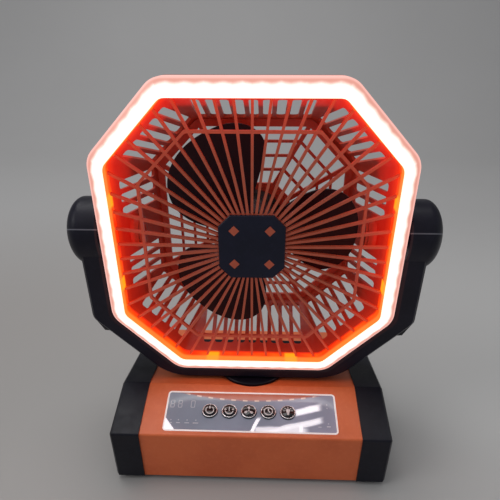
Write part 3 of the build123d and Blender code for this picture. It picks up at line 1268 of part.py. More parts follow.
with BuildPart() as trunnion_clips:
    for side in (-1, 1):
        with BuildSketch(Plane.YZ.offset(side * CLIP_X)):
            with Locations((0, PIVOT_HEIGHT)):
                Circle(CLIP_RADIUS)
                Circle(JOURNAL_RADIUS, mode=Mode.SUBTRACT)
        extrude(amount=side * CLIP_THICKNESS)
save(trunnion_clips, "trunnion_clips")

# ================================================================ head: motor
with BuildPart() as motor_can:
    with BuildSketch(head_plane(REAR_INNER_Y)):
        Circle(MOTOR_RADIUS)
    extrude(amount=REAR_INNER_Y - MOTOR_FRONT)
    with BuildSketch(head_plane(REAR_INNER_Y)):
        Circle(MOTOR_RADIUS + MOTOR_FLANGE)
    extrude(amount=MOTOR_FLANGE_THICKNESS)
    with BuildSketch(head_plane(REAR_INNER_Y)):
        Circle(MOTOR_RADIUS - MOTOR_WALL)
        with PolarLocations(MOTOR_SCREW_RADIUS, MOTOR_SCREWS, start_angle=45):
            Circle(SCREW_RADIUS + RUN_FIT)
    extrude(amount=REAR_INNER_Y - MOTOR_FRONT - BEARING_WIDTH, mode=Mode.SUBTRACT)
    with BuildSketch(head_plane(REAR_INNER_Y)):
        Circle(BEARING_RADIUS)
    extrude(amount=REAR_INNER_Y - MOTOR_FRONT, mode=Mode.SUBTRACT)
    # vents in the front face
    with BuildSketch(head_plane(MOTOR_FRONT + BEARING_WIDTH)):
        with PolarLocations(12.0, 6):
            Circle(2.4)
    extrude(amount=BEARING_WIDTH, mode=Mode.SUBTRACT)
save(motor_can, "motor_can")

with BuildPart() as motor_bearings:
    for back in (REAR_INNER_Y, MOTOR_FRONT + BEARING_WIDTH):
        with BuildSketch(head_plane(back)):
            Circle(BEARING_RADIUS)
            Circle(SHAFT_RADIUS + RUN_FIT, mode=Mode.SUBTRACT)
        extrude(amount=BEARING_WIDTH)
save(motor_bearings, "motor_bearings")

COIL_BACK = REAR_INNER_Y - BEARING_WIDTH - 2
COIL_FRONT = MOTOR_FRONT + BEARING_WIDTH + 2
with BuildPart() as motor_coils:
    with BuildSketch(head_plane(COIL_BACK)):
        Circle(MOTOR_RADIUS - MOTOR_WALL)
        Circle(MAGNET_RADIUS + COIL_GAP, mode=Mode.SUBTRACT)
        with PolarLocations(MAGNET_RADIUS + 2.5, 6):
            Rectangle(7, 2.4, mode=Mode.SUBTRACT)
    extrude(amount=COIL_BACK - COIL_FRONT)
save(motor_coils, "motor_coils")

with BuildPart() as motor_screws:
    with BuildSketch(head_plane(REAR_DEPTH - MOTOR_SCREW_SINK)):
        with PolarLocations(MOTOR_SCREW_RADIUS, MOTOR_SCREWS, start_angle=45):
            Circle(2 * SCREW_RADIUS)
    extrude(amount=-MOTOR_SCREW_SINK)
    with BuildSketch(head_plane(REAR_DEPTH - MOTOR_SCREW_SINK)):
        with PolarLocations(MOTOR_SCREW_RADIUS, MOTOR_SCREWS, start_angle=45):
            Circle(SCREW_RADIUS)
    extrude(amount=REAR_GRILLE - MOTOR_SCREW_SINK + MOTOR_FLANGE_THICKNESS)
save(motor_screws, "motor_screws")

# ================================================================ rotor
with BuildPart() as blade:
    # twisted slab along +X, cut to the paddle's outline
    for radius, pitch in ((HUB_RADIUS / 2, BLADE_ROOT_PITCH), (TIP_RADIUS + 5, BLADE_TIP_PITCH)):
        chord = (0, -sin(radians(pitch)), cos(radians(pitch)))
        with BuildSketch(Plane(origin=(radius, 0, 0), x_dir=chord, z_dir=(1, 0, 0))):
            Rectangle(4 * TIP_RADIUS, BLADE_THICKNESS)
    loft()
    with BuildSketch(Plane.XZ.offset(-TIP_RADIUS)):
        with BuildLine():
            outline = [(r * cos(radians(a)), r * sin(radians(a))) for r, a in BLADE_OUTLINE]
            Spline(*outline)
            Line(outline[-1], outline[0])
        make_face()
    extrude(amount=2 * TIP_RADIUS, mode=Mode.INTERSECT)

with BuildPart() as impeller:
    with BuildSketch(head_plane(HUB_FRONT + HUB_LENGTH)):
        Circle(HUB_RADIUS)
    extrude(amount=HUB_LENGTH)
    for i in range(BLADES):
        turn = -(BLADE_PHASE + 360 / BLADES * i)
        add(blade.part.moved(Location((0, 0, PIVOT_HEIGHT)) * Location((0, 0, 0), (0, turn, 0))))
    with BuildSketch(head_plane(HUB_FRONT + HUB_LENGTH)):
        Circle(HUB_RADIUS - HUB_WALL)
        Circle(HUB_BOSS, mode=Mode.SUBTRACT)
    extrude(amount=HUB_LENGTH - HUB_WALL, mode=Mode.SUBTRACT)
    with BuildSketch(head_plane(HUB_FRONT + HUB_LENGTH)):
        Circle(SHAFT_RADIUS)
    extrude(amount=HUB_LENGTH, mode=Mode.SUBTRACT)
    # front edge of the hub cup
    cup_edge = faces().sort_by(Axis.Y)[0].outer_wire().edges()
    fillet(cup_edge.filter_by(GeomType.CIRCLE), HUB_EDGE)
save(impeller, "impeller")

with BuildPart() as motor_shaft:
    with BuildSketch(head_plane(REAR_INNER_Y - CLEAR)):
        Circle(SHAFT_RADIUS)
    extrude(amount=REAR_INNER_Y - CLEAR - HUB_FRONT + NOSE_LENGTH / 2)
save(motor_shaft, "motor_shaft")

with BuildPart() as motor_magnet:
    with BuildSketch(head_plane(COIL_BACK)):
        Circle(MAGNET_RADIUS)
        Circle(SHAFT_RADIUS, mode=Mode.SUBTRACT)
    extrude(amount=COIL_BACK - COIL_FRONT)
save(motor_magnet, "motor_magnet")

with BuildPart() as impeller_nut:
    with BuildSketch(head_plane(HUB_FRONT)):
        Circle(HUB_BOSS)
    with BuildSketch(head_plane(HUB_FRONT - NOSE_LENGTH)):
        Circle(HUB_BOSS / 2)
    loft()
    with BuildSketch(head_plane(HUB_FRONT)):
        Circle(SHAFT_RADIUS)
    extrude(amount=NOSE_LENGTH / 2, mode=Mode.SUBTRACT)
save(impeller_nut, "impeller_nut")
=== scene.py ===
import math
import bpy
import bmesh
from mathutils import Matrix, Vector


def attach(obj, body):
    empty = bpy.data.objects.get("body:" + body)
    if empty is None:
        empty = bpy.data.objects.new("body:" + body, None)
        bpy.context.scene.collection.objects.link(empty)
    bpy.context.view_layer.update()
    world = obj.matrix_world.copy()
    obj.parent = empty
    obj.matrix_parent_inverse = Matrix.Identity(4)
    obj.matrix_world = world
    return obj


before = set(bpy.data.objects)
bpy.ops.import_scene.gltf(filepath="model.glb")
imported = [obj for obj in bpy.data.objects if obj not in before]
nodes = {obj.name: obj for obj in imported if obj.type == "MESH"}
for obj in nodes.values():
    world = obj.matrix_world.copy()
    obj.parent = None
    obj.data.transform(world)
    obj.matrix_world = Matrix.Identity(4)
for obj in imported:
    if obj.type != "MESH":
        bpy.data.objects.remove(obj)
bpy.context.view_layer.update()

# the head, in metres: the tilt axis, then the ring's half-width, corner cut, width and corner radii
PIVOT = 0.189
HALF, CUT, RING = 0.1092, 0.0483, 0.0115
CORNER, INNER_CORNER = 0.016, 0.008
# the front of the grille's rim, the back of the ring's skirt, and where the glow in the rear housing ends
LENS_SKIRT = 0.009
RIM_Y, GLOW_END_Y = -0.030, 0.016
SKIRT_Y = RIM_Y + LENS_SKIRT
# how deep the ring's light reaches, on the housing's wall and over the spokes, the width of the flange's
# two edges in that light, and how far above and below the axis the wall's glow goes on changing
LIT_WALL_DEPTH, SPOKE_GLOW_DEPTH, FLANGE_EDGE, GLOW_HEIGHT = 0.0185, 0.056, 0.0035, 0.10
CHIP_PITCH = 0.0116
WINDOW_FROM_MIDDLE = 0.032
SEAM_TILT = math.radians(21.0)

# the control face, in millimetres: its front edge, its ridge, then the panel and the buttons on it
FACE_Y, FACE_Z = -77.0, 49.6
RIDGE_Z, RIDGE_SETBACK = 62.7, 46.3
SLOPE = math.atan2(RIDGE_Z - FACE_Z, RIDGE_SETBACK)
PANEL_START, PANEL_LENGTH = 4.1, 36.6
PANEL_MIDDLE = PANEL_START + PANEL_LENGTH / 2
BUTTON_PITCH, BUTTON_SHIFT = 15.8, -1.5
BUTTON_PROUD, DOME_HEIGHT, DOME_EDGE = 1.1, 1.2, 6.2
DOME_TOP = BUTTON_PROUD + DOME_HEIGHT
DOME_RADIUS = (DOME_EDGE**2 + DOME_HEIGHT**2) / (2 * DOME_HEIGHT)
# how far the display's print stands above the panel and sits in it
INK = 0.03

# ------------------------------------------------------------------ camera, at the photograph's angle
PICTURE_WIDTH, FOCAL_PIXELS = 500, 449.6
CAMERA_PLACE = (0.0085, -0.3278, 0.3136)
camera_data = bpy.data.cameras.new("camera")
camera = bpy.data.objects.new("camera", camera_data)
bpy.context.scene.collection.objects.link(camera)
bpy.context.scene.camera = camera
camera_data.sensor_width = 36.0
camera_data.lens = FOCAL_PIXELS / PICTURE_WIDTH * camera_data.sensor_width
camera_data.shift_y = 0.1012
yaw, pitch = math.radians(1.9), math.radians(29.5)
turn = Matrix.Rotation(yaw, 3, "Z")
camera_right = turn @ Vector((1, 0, 0))
camera_up = turn @ Vector((0, math.sin(pitch), math.cos(pitch)))
camera_back = -(turn @ Vector((0, math.cos(pitch), -math.sin(pitch))))
camera_rows = [(camera_right[i], camera_up[i], camera_back[i], CAMERA_PLACE[i]) for i in range(3)]
camera.matrix_world = Matrix(camera_rows + [(0, 0, 0, 1)])
bpy.context.scene.view_settings.view_transform = "Standard"


# ------------------------------------------------------------------ node helpers
class Graph:
    """A material's node tree, with short calls that add nodes and join them."""

    def __init__(self, name):
        self.material = bpy.data.materials.new(name)
        self.material.use_nodes = True
        self.tree = self.material.node_tree
        self.shader = self.tree.nodes["Principled BSDF"]
        self.place = None

    def node(self, kind, **values):
        made = self.tree.nodes.new(kind)
        for key, value in values.items():
            setattr(made, key, value)
        return made

    def put(self, socket, value):
        """Joins an output to the socket, or gives the socket a plain value."""
        if isinstance(value, bpy.types.NodeSocket):
            self.tree.links.new(value, socket)
        else:
            socket.default_value = value

    def give(self, name, value):
        self.put(self.shader.inputs[name], value)

    def given(self, name):
        """The output that already feeds this input of the shader."""
        return self.shader.inputs[name].links[0].from_socket

    def point(self):
        """The surface point in the frame at rest, in metres."""
        if self.place is None:
            self.place = self.node("ShaderNodeTexCoord").outputs["Object"]
        return self.place

    def split(self, vector):
        made = self.node("ShaderNodeSeparateXYZ")
        self.put(made.inputs[0], vector)
        return made.outputs

    def axis(self, letter):
        return self.split(self.point())[letter]

    def math(self, kind, a, b=None):
        made = self.node("ShaderNodeMath", operation=kind)
        self.put(made.inputs[0], a)
        if b is not None:
            self.put(made.inputs[1], b)
        return made.outputs[0]

    def plus(self, a, b):
        return self.math("ADD", a, b)

    def minus(self, a, b):
        return self.math("SUBTRACT", a, b)

    def times(self, a, b):
        return self.math("MULTIPLY", a, b)

    def apart(self, a, b):
        """How far two values lie from each other."""
        return self.math("ABSOLUTE", self.minus(a, b))

    def noise(self, scale, detail=2.0, rough=0.5, distortion=0.0):
        made = self.node("ShaderNodeTexNoise")
        made.inputs["Scale"].default_value = scale
        made.inputs["Detail"].default_value = detail
        made.inputs["Roughness"].default_value = rough
        made.inputs["Distortion"].default_value = distortion
        self.put(made.inputs["Vector"], self.point())
        return made.outputs["Fac"]

    def ramp(self, value, low, high, to_low=0.0, to_high=1.0, smooth=True):
        """Takes a value from low..high to to_low..to_high, and holds it there beyond."""
        made = self.node("ShaderNodeMapRange", interpolation_type="SMOOTHSTEP" if smooth else "LINEAR")
        for socket, number in zip(made.inputs, (value, low, high, to_low, to_high)):
            self.put(socket, number)
        return made.outputs[0]

    def mix(self, share, first, second):
        # sockets 6 and 7 in, and 2 out, are the ones for colours
        made = self.node("ShaderNodeMix", data_type="RGBA")
        self.put(made.inputs[0], share)
        self.put(made.inputs[6], first)
        self.put(made.inputs[7], second)
        return made.outputs[2]

    def bump(self, height, distance, strength):
        made = self.node("ShaderNodeBump")
        made.inputs["Distance"].default_value = distance
        made.inputs["Strength"].default_value = strength
        self.put(made.inputs["Height"], height)
        return made.outputs[0]


def rgb(r, g, b):
    """A colour given as 8-bit sRGB, as a linear one."""
    def linear(c):
        c = c / 255
        return c / 12.92 if c <= 0.04045 else ((c + 0.055) / 1.055) ** 2.4
    return (linear(r), linear(g), linear(b), 1.0)


def tone(r, g, b):
    """A colour given as a linear one."""
    return (r, g, b, 1)


def cover(material, *names):
    """Gives CAD nodes, by name, or objects this material alone."""
    for name in names:
        target = nodes[name] if isinstance(name, str) else name
        target.data.materials.clear()
        target.data.materials.append(material)


def plastic(name, base, dark, light, rough=0.4, grain=0.00006, grain_scale=900.0, spread=0.08, specular=0.5):
    """Moulded plastic: slow colour drift, fine grain and a roughness that varies with handling."""
    g = Graph(name)
    drift = g.noise(22.0, 3.0, 0.6)
    fine = g.noise(260.0)
    colour = g.mix(g.ramp(drift, 0.35, 0.65), dark, base)
    colour = g.mix(g.times(g.ramp(fine, 0.45, 0.8), 0.35), colour, light)
    g.give("Base Color", colour)
    smear = g.noise(38.0, 4.0, 0.65, 0.6)
    g.give("Roughness", g.ramp(smear, 0.3, 0.7, rough - spread, rough + spread))
    g.give("Normal", g.bump(g.noise(grain_scale, 2.0, 0.6), grain, 0.6))
    g.give("Specular IOR Level", specular)
    return g


def metal(name, colour, wear_and_highlight, rough=0.32):
    """Metal with a fine grain and dull, worn spots."""
    g = Graph(name)
    spots = g.noise(180.0, 3.0, 0.6)
    g.give("Base Color", g.mix(g.ramp(spots, 0.4, 0.75), colour, wear_and_highlight))
    g.give("Roughness", g.ramp(spots, 0.3, 0.7, rough - 0.08, rough + 0.12))
    g.give("Normal", g.bump(g.noise(1500.0, 1.0), 0.00003, 0.5))
    g.give("Metallic", 1.0)
    return g


# ------------------------------------------------------------------ plain plastics and metals
# name, usual colour, darker and lighter drift, settings of the surface, nodes
PLASTICS = (
    ("orange_shell", tone(0.80, 0.165, 0.048), tone(0.72, 0.135, 0.038), tone(0.86, 0.21, 0.07),
     {"rough": 0.40}, ("base_housing",)),
    ("dark_shell", tone(0.0085, 0.0088, 0.0165), tone(0.006, 0.0062, 0.012), tone(0.015, 0.0155, 0.027),
     {"rough": 0.38, "specular": 0.24}, ("end_cap_left", "end_cap_right", "swivel_disc")),
    ("bumper", tone(0.016, 0.0165, 0.022), tone(0.011, 0.011, 0.015), tone(0.026, 0.026, 0.032),
     {"rough": 0.55}, ("corner_bumpers", "base_bottom_cover", "battery_tray", "tilt_washers")),
    ("rubber", tone(0.02, 0.02, 0.021), tone(0.014, 0.014, 0.014), tone(0.034, 0.033, 0.032),
     {"rough": 0.8, "grain": 0.00012, "grain_scale": 500.0}, ("rubber_feet", "port_cover")),
    ("blade", tone(0.018, 0.005, 0.012), tone(0.013, 0.0035, 0.009), tone(0.027, 0.008, 0.016),
     {"rough": 0.34, "specular": 0.25}, ("impeller", "impeller_nut")),
    ("badge", tone(0.0085, 0.0105, 0.031), tone(0.006, 0.0075, 0.023), tone(0.015, 0.018, 0.044),
     {"rough": 0.35, "specular": 0.3}, ("hub_badge",)),
    ("pale_bearing", tone(0.75, 0.73, 0.68), tone(0.68, 0.66, 0.6), tone(0.82, 0.8, 0.76),
     {"rough": 0.45},
     ("swivel_bush", "tilt_bushes", "swing_gear", "swing_pinion", "swivel_nut", "led_strips")),
    ("circuit_board", tone(0.02, 0.11, 0.05), tone(0.015, 0.085, 0.04), tone(0.03, 0.14, 0.07),
     {}, ("control_board", "power_board")),
    ("switch", tone(0.03, 0.03, 0.03), tone(0.02, 0.02, 0.02), tone(0.05, 0.05, 0.05),
     {"rough": 0.45}, ("tact_switches", "display_module")),
    ("cell_wrap", tone(0.05, 0.2, 0.42), tone(0.04, 0.16, 0.36), tone(0.08, 0.26, 0.5),
     {"rough": 0.3}, ("battery_cells",)),
    ("button_gloss", tone(0.012, 0.010, 0.013), tone(0.009, 0.008, 0.010), tone(0.02, 0.018, 0.02),
     {"rough": 0.12, "spread": 0.04, "grain": 0.00001},
     ("power_button", "swing_button", "fan_speed_button", "timer_button", "light_button")),
)
# name, bright and worn colour, roughness, nodes
METALS = (
    ("plated_steel", tone(0.55, 0.55, 0.54), tone(0.36, 0.35, 0.34), 0.32,
     ("base_screws", "board_screws", "swing_motor_screws", "swivel_screws", "yoke_screws", "head_screws",
      "motor_screws", "motor_shaft", "trunnion_clips", "usb_a_socket", "usb_c_socket")),
    ("motor_steel", tone(0.24, 0.24, 0.25), tone(0.15, 0.15, 0.15), 0.4,
     ("swing_motor", "motor_can", "motor_bearings", "motor_magnet")),
    ("copper_wire", tone(0.62, 0.27, 0.14), tone(0.45, 0.18, 0.1), 0.35, ("motor_coils",)),
)
for name, base, dark, light, surface, names in PLASTICS:
    cover(plastic(name, base, dark, light, **surface).material, *names)
for name, bright, wear_and_highlight, rough, names in METALS:
    cover(metal(name, bright, wear_and_highlight, rough).material, *names)


def yoke_material():
    """The yoke's dark plastic, with a painted highlight line where each drum's cap meets its lower half."""
    g = plastic("yoke_shell", tone(0.0098, 0.0092, 0.0205), tone(0.0070, 0.0066, 0.015),
                tone(0.017, 0.0165, 0.032), rough=0.42, specular=0.27)
    rise = g.times(g.minus(g.axis("Z"), PIVOT), math.cos(SEAM_TILT))
    off_seam = g.math("ABSOLUTE", g.plus(rise, g.times(g.axis("Y"), math.sin(SEAM_TILT))))
    # painted highlight: a thin light line in the base colour along the seam plane through the tilt axis
    wear_and_highlight = g.ramp(off_seam, 0.00065, 0.00025)
    g.give("Base Color", g.mix(wear_and_highlight, g.given("Base Color"), tone(0.16, 0.16, 0.19)))
    return g.material


cover(yoke_material(), "yoke_front_shell", "yoke_rear_shell", "drum_cap_left", "drum_cap_right")


# ------------------------------------------------------------------ the head's lit parts
def rounded(g, first, second, radius):
    """Depth behind two sides that meet at 135 degrees and are rounded, from the depth behind each."""
    a = g.minus(radius, first)
    b = g.minus(radius, second)
    cosine = math.cos(math.radians(45))
    squares = g.plus(g.times(a, a), g.times(b, b))
    cross = g.times(g.times(a, b), 2 * cosine)
    away = g.math("SQRT", g.times(g.minus(squares, cross), 2.0))
    past_first = g.math("GREATER_THAN", a, g.times(b, cosine))
    past_second = g.math("GREATER_THAN", b, g.times(a, cosine))
    in_corner = g.times(past_first, past_second)
    plain = g.math("MINIMUM", first, second)
    return g.plus(plain, g.times(in_corner, g.minus(g.minus(radius, away), plain)))


def ring_places(g):
    """Depth inside the head's outer edge, the same inside the ring's inner edge, the distance along the side
    from its middle, and 1 on the slanted sides."""
    across = g.math("ABSOLUTE", g.axis("X"))
    height = g.apart(g.axis("Z"), PIVOT)
    straight = g.minus(HALF, g.math("MAXIMUM", across, height))
    slanted = g.minus((2 * HALF - CUT) / math.sqrt(2), g.times(g.plus(across, height), 1 / math.sqrt(2)))
    depth = rounded(g, straight, slanted, CORNER)
    within = rounded(g, g.minus(straight, RING), g.minus(slanted, RING), INNER_CORNER)
    on_slant = g.math("LESS_THAN", slanted, straight)
    along_straight = g.math("MINIMUM", across, height)
    along_slant = g.times(g.apart(across, height), 1 / math.sqrt(2))
    along = g.plus(along_straight, g.times(on_slant, g.minus(along_slant, along_straight)))
    return depth, within, along, on_slant


def lens_material():
    """Milky light ring: white-hot over the chips, salmon at its outer edge where the light thins out."""
    g = Graph("lit_lens")
    depth, within, along, on_slant = ring_places(g)
    phase = g.plus(g.math("DIVIDE", along, CHIP_PITCH), g.minus(0.5, g.times(on_slant, 0.5)))
    cell = g.apart(g.math("FRACT", phase), 0.5)
    wave = g.times(g.minus(0.25, cell), 0.0018)
    ragged = g.times(g.minus(g.noise(300.0, 2.0, 0.6), 0.5), 0.0008)
    inward = g.plus(g.minus(depth, wave), ragged)
    band = g.mix(g.ramp(depth, 0.0005, 0.0018), rgb(255, 188, 176), rgb(228, 152, 134))
    band = g.mix(g.ramp(inward, 0.0020, 0.0040), band, rgb(255, 214, 198))
    hot = g.ramp(inward, 0.0026, 0.0060)
    core = g.ramp(inward, 0.0052, 0.0074)
    lip = g.ramp(within, -0.0016, -0.0001)
    colour = g.mix(hot, band, rgb(255, 251, 247))
    g.give("Emission Color", g.mix(g.times(lip, 0.75), colour, rgb(255, 168, 128)))
    strength = g.plus(g.ramp(hot, 0.0, 1.0, 0.90, 1.35, smooth=False), g.times(core, 2.5))
    g.give("Emission Strength", g.minus(strength, g.times(lip, 1.6)))
    g.give("Base Color", g.mix(g.noise(90.0), tone(0.34, 0.22, 0.20), tone(0.38, 0.26, 0.24)))
    g.give("Roughness", 0.35)
    return g.material


def chip_material():
    """The lit chips under the lens."""
    g = Graph("led")
    g.give("Emission Color", g.mix(g.noise(900.0), tone(1, 0.9, 0.75), tone(1, 0.97, 0.9)))
    g.give("Emission Strength", 4.0)
    return g.material


def grille_material():
    """The front grille's orange plastic; its flange has a painted glow where the ring's light shines through.
    """
    g = plastic("lit_grille", tone(0.66, 0.125, 0.062), tone(0.58, 0.105, 0.05), tone(0.74, 0.17, 0.085),
                rough=0.38)
    depth, within, along, on_slant = ring_places(g)
    # painted light: the flange glows red to orange with its colour deepened to red, yellower at two patches
    # on each straight side, lighter at its front edge and darker red at its back edge; the grille near the
    # ring glows faintly deep red
    flange = g.ramp(within, 0.0009, 0.0004)
    window = g.times(g.ramp(g.apart(along, WINDOW_FROM_MIDDLE), 0.0062, 0.0036), g.minus(1.0, on_slant))
    glow = g.mix(g.ramp(g.noise(45.0), 0.32, 0.72), rgb(242, 42, 2), rgb(255, 88, 6))
    glow = g.mix(window, glow, rgb(255, 160, 16))
    front_edge = g.ramp(g.axis("Y"), RIM_Y + FLANGE_EDGE, RIM_Y)
    glow = g.mix(g.times(front_edge, 0.6), glow, rgb(255, 150, 60))
    back_edge = g.ramp(g.axis("Y"), SKIRT_Y - FLANGE_EDGE, SKIRT_Y)
    glow = g.mix(back_edge, glow, rgb(190, 24, 6))
    near = g.ramp(depth, SPOKE_GLOW_DEPTH, RING + 0.002)
    g.give("Base Color", g.mix(flange, g.given("Base Color"), tone(0.55, 0.048, 0.005)))
    g.give("Emission Color", g.mix(flange, rgb(196, 20, 8), glow))
    g.give("Emission Strength", g.plus(g.times(flange, 0.82), g.times(near, 0.30)))
    return g.material


def funnel_material():
    """The rear housing's orange plastic, with painted light on its inside from the ring at its front edge,
    stronger higher up.
    """
    g = plastic("lit_housing", tone(0.64, 0.078, 0.034), tone(0.56, 0.062, 0.027), tone(0.72, 0.108, 0.05),
                rough=0.42)
    depth = ring_places(g)[0]
    height = g.minus(g.axis("Z"), PIVOT)
    front = g.ramp(g.axis("Y"), GLOW_END_Y, SKIRT_Y)
    inside_ring = g.ramp(depth, RING - 0.0022, RING - 0.0008)
    wall = g.times(inside_ring, g.ramp(depth, LIT_WALL_DEPTH + 0.003, LIT_WALL_DEPTH))
    above = g.ramp(height, -GLOW_HEIGHT, GLOW_HEIGHT, 0.3, 3.0, smooth=False)
    normal = g.split(g.node("ShaderNodeTexCoord").outputs["Normal"])
    outward = g.plus(g.times(normal["X"], g.axis("X")), g.times(normal["Z"], height))
    wall = g.times(wall, g.ramp(outward, 0.03, -0.01, 0.12, 1.0))
    g.give("Emission Color", g.mix(g.ramp(g.axis("Y"), -0.015, SKIRT_Y), rgb(188, 16, 8), rgb(232, 44, 10)))
    g.give("Emission Strength", g.times(g.times(g.times(front, wall), above), 0.36))
    return g.material


cover(lens_material(), "light_lens")
cover(chip_material(), "led_chips")
cover(grille_material(), "front_grille")
cover(funnel_material(), "rear_housing", "trunnion_left", "trunnion_right")


# ------------------------------------------------------------------ control panel
def glass_material():
    """Smoked glossy panel with painted reflections: white streaks, and an orange band edged with light
    dashes, and a faint painted glow.
    """
    g = Graph("panel_glass")
    x = g.times(g.axis("X"), 1000.0)
    up = g.math("DIVIDE", g.minus(g.times(g.axis("Y"), 1000.0), FACE_Y), math.cos(SLOPE))
    warp = g.times(g.minus(g.noise(55.0, 2.0, 0.5, 0.8), 0.5), 5.0)
    wavy_x, wavy_up = g.plus(x, warp), g.plus(up, g.times(warp, 0.5))

    def streak(level, tilt, half, start, end, soft=2.2):
        """A band about the line up = level + tilt * x, between two places across."""
        away = g.apart(wavy_up, g.plus(g.times(x, tilt), level))
        ends = g.times(g.ramp(wavy_x, start - 3.0, start + 3.0), g.ramp(wavy_x, end + 3.0, end - 3.0))
        return g.times(g.ramp(away, half + soft, half - 0.4), ends)

    # painted reflections, all white: a patch in the left front corner, then the streaks below
    painted_streaks = g.ramp(g.plus(g.times(g.plus(x, 64.5), 1.25), up), 12.0, 10.5)
    lean = g.apart(g.times(g.minus(wavy_x, 1.5), 2.2), g.minus(up, 4.0))
    # after the patch in the left front corner: two slanting streaks, a level, a leaning and an upright one
    for other in (
        streak(11.5, 0.30, 2.2, 32.0, 57.0),
        g.times(streak(1.0, 0.27, 1.6, 8.0, 57.0), 0.9),
        g.times(streak(6.2, 0.0, 2.6, 4.0, 45.0, 2.4), 0.75),
        g.times(g.ramp(lean, 4.6, 2.2), g.ramp(up, 19.0, 15.0)),
        g.times(g.ramp(g.apart(wavy_x, 40.5), 2.6, 1.4), g.ramp(up, 14.0, 11.0)),
    ):
        painted_streaks = g.math("MAXIMUM", painted_streaks, other)
    # the painted orange reflection band's edge bends back towards both ends, as a parabola
    edge_middle, edge_rise, edge_reach, dash_pitch = 33.0, 5.2, 52.0, 9.6
    bend = g.math("POWER", g.math("DIVIDE", x, edge_reach), 2.0)
    band_edge = g.plus(edge_middle, g.times(bend, edge_rise))
    band = g.ramp(up, g.minus(band_edge, 1.5), g.plus(band_edge, 1.5))
    beat = g.apart(g.math("FRACT", g.math("DIVIDE", x, dash_pitch)), 0.5)
    row = g.ramp(g.apart(up, g.minus(band_edge, 0.2)), 1.0, 0.3)
    painted_dashes = g.times(g.times(g.ramp(beat, 0.24, 0.16), row), g.ramp(g.math("ABSOLUTE", x), 56.0, 50.0))
    colour = g.mix(g.ramp(x, -62.0, 66.0), rgb(138, 147, 162), rgb(158, 158, 178))
    colour = g.mix(g.times(g.ramp(g.noise(30.0, 3.0), 0.3, 0.7), 0.5), colour, rgb(122, 128, 142))
    colour = g.mix(g.times(band, 0.95), colour, rgb(180, 88, 58))
    colour = g.mix(g.times(painted_dashes, 0.6), colour, rgb(255, 226, 204))
    colour = g.mix(painted_streaks, colour, rgb(250, 248, 255))
    g.give("Base Color", colour)
    # painted light: the panel glows faintly all over, and more on the white streaks
    g.give("Emission Color", colour)
    g.give("Emission Strength", g.plus(0.17, g.times(painted_streaks, 0.36)))
    g.give("Roughness", g.ramp(g.noise(60.0, 4.0, 0.6), 0.3, 0.8, 0.07, 0.16))
    g.give("Specular IOR Level", 0.4)
    return g.material


def rim_material():
    """The panel's pale rim, with a faint painted glow that lightens it."""
    g = plastic("panel_rim", tone(0.93, 0.84, 0.82), tone(0.86, 0.76, 0.74), tone(0.97, 0.92, 0.91),
                rough=0.25)
    g.give("Emission Color", g.given("Base Color"))
    g.give("Emission Strength", 0.24)
    return g.material


cover(glass_material(), "panel_lens")
cover(rim_material(), "panel_frame")
chrome = metal("button_chrome", tone(0.82, 0.78, 0.80), tone(0.62, 0.58, 0.6), 0.18)
print_white = plastic("icon_print", rgb(232, 222, 222), rgb(214, 203, 203), rgb(244, 238, 238),
                      rough=0.5, grain=0.00001)
print_faint = plastic("display_print", rgb(202, 203, 212), rgb(188, 190, 200), rgb(214, 215, 222),
                      rough=0.5, grain=0.00001)


def on_panel(x, up, lift):
    """A point on the sloped face, in metres: x across, up along the slope, lift off the face, all in mm."""
    y = FACE_Y + up * math.cos(SLOPE) - lift * math.sin(SLOPE)
    z = FACE_Z + up * math.sin(SLOPE) + lift * math.cos(SLOPE)
    return Vector((x, y, z)) / 1000


def dome_lift(x, up):
    """Height of a button's dome above the face, at a place measured from the button's middle."""
    return DOME_TOP - DOME_RADIUS + math.sqrt(DOME_RADIUS**2 - x * x - up * up)


def flat_lift(x, up):
    """Height of the flat panel above the face."""
    return 0.0


def solid_piece(name, shells, material, body):
    """Joins closed shells, each (points, faces), into one object that rides on a body."""
    mesh = bpy.data.meshes.new(name)
    points, faces = [], []
    for shell_points, shell_faces in shells:
        start = len(points)
        points += shell_points
        faces += [[start + i for i in face] for face in shell_faces]
    mesh.from_pydata(points, [], faces)
    made = bpy.data.objects.new(name, mesh)
    bpy.context.scene.collection.objects.link(made)
    work = bmesh.new()
    work.from_mesh(mesh)
    bmesh.ops.recalc_face_normals(work, faces=work.faces)
    work.to_mesh(mesh)
    work.free()
    cover(material, made)
    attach(made, body)
    return made


def stroke(path, width, lift, centre, thick=0.06, sunk=0.05, closed=False):
    """A printed line of even width that lies on the face or on a dome, as a closed shell."""
    cx, cup = centre
    count = len(path)
    points, faces = [], []
    for i, (x, up) in enumerate(path):
        before = path[i - 1] if i > 0 or closed else path[i]
        after = path[(i + 1) % count] if i < count - 1 or closed else path[i]
        dx, dup = after[0] - before[0], after[1] - before[1]
        length = math.hypot(dx, dup)
        nx, nup = -dup / length * width / 2, dx / length * width / 2
        for side in (1, -1):
            px, pup = x + side * nx, up + side * nup
            level = lift(px, pup)
            points.append(on_panel(cx + px, cup + pup, level + thick))
            points.append(on_panel(cx + px, cup + pup, level - sunk))
    steps = count if closed else count - 1
    for i in range(steps):
        a, b = 4 * i, 4 * ((i + 1) % count)
        faces += [[a, b, b + 2, a + 2], [a + 1, a + 3, b + 3, b + 1]]
        faces += [[a, a + 1, b + 1, b], [a + 2, b + 2, b + 3, a + 3]]
    if not closed:
        last = 4 * (count - 1)
        faces += [[0, 2, 3, 1], [last, last + 1, last + 3, last + 2]]
    return points, faces


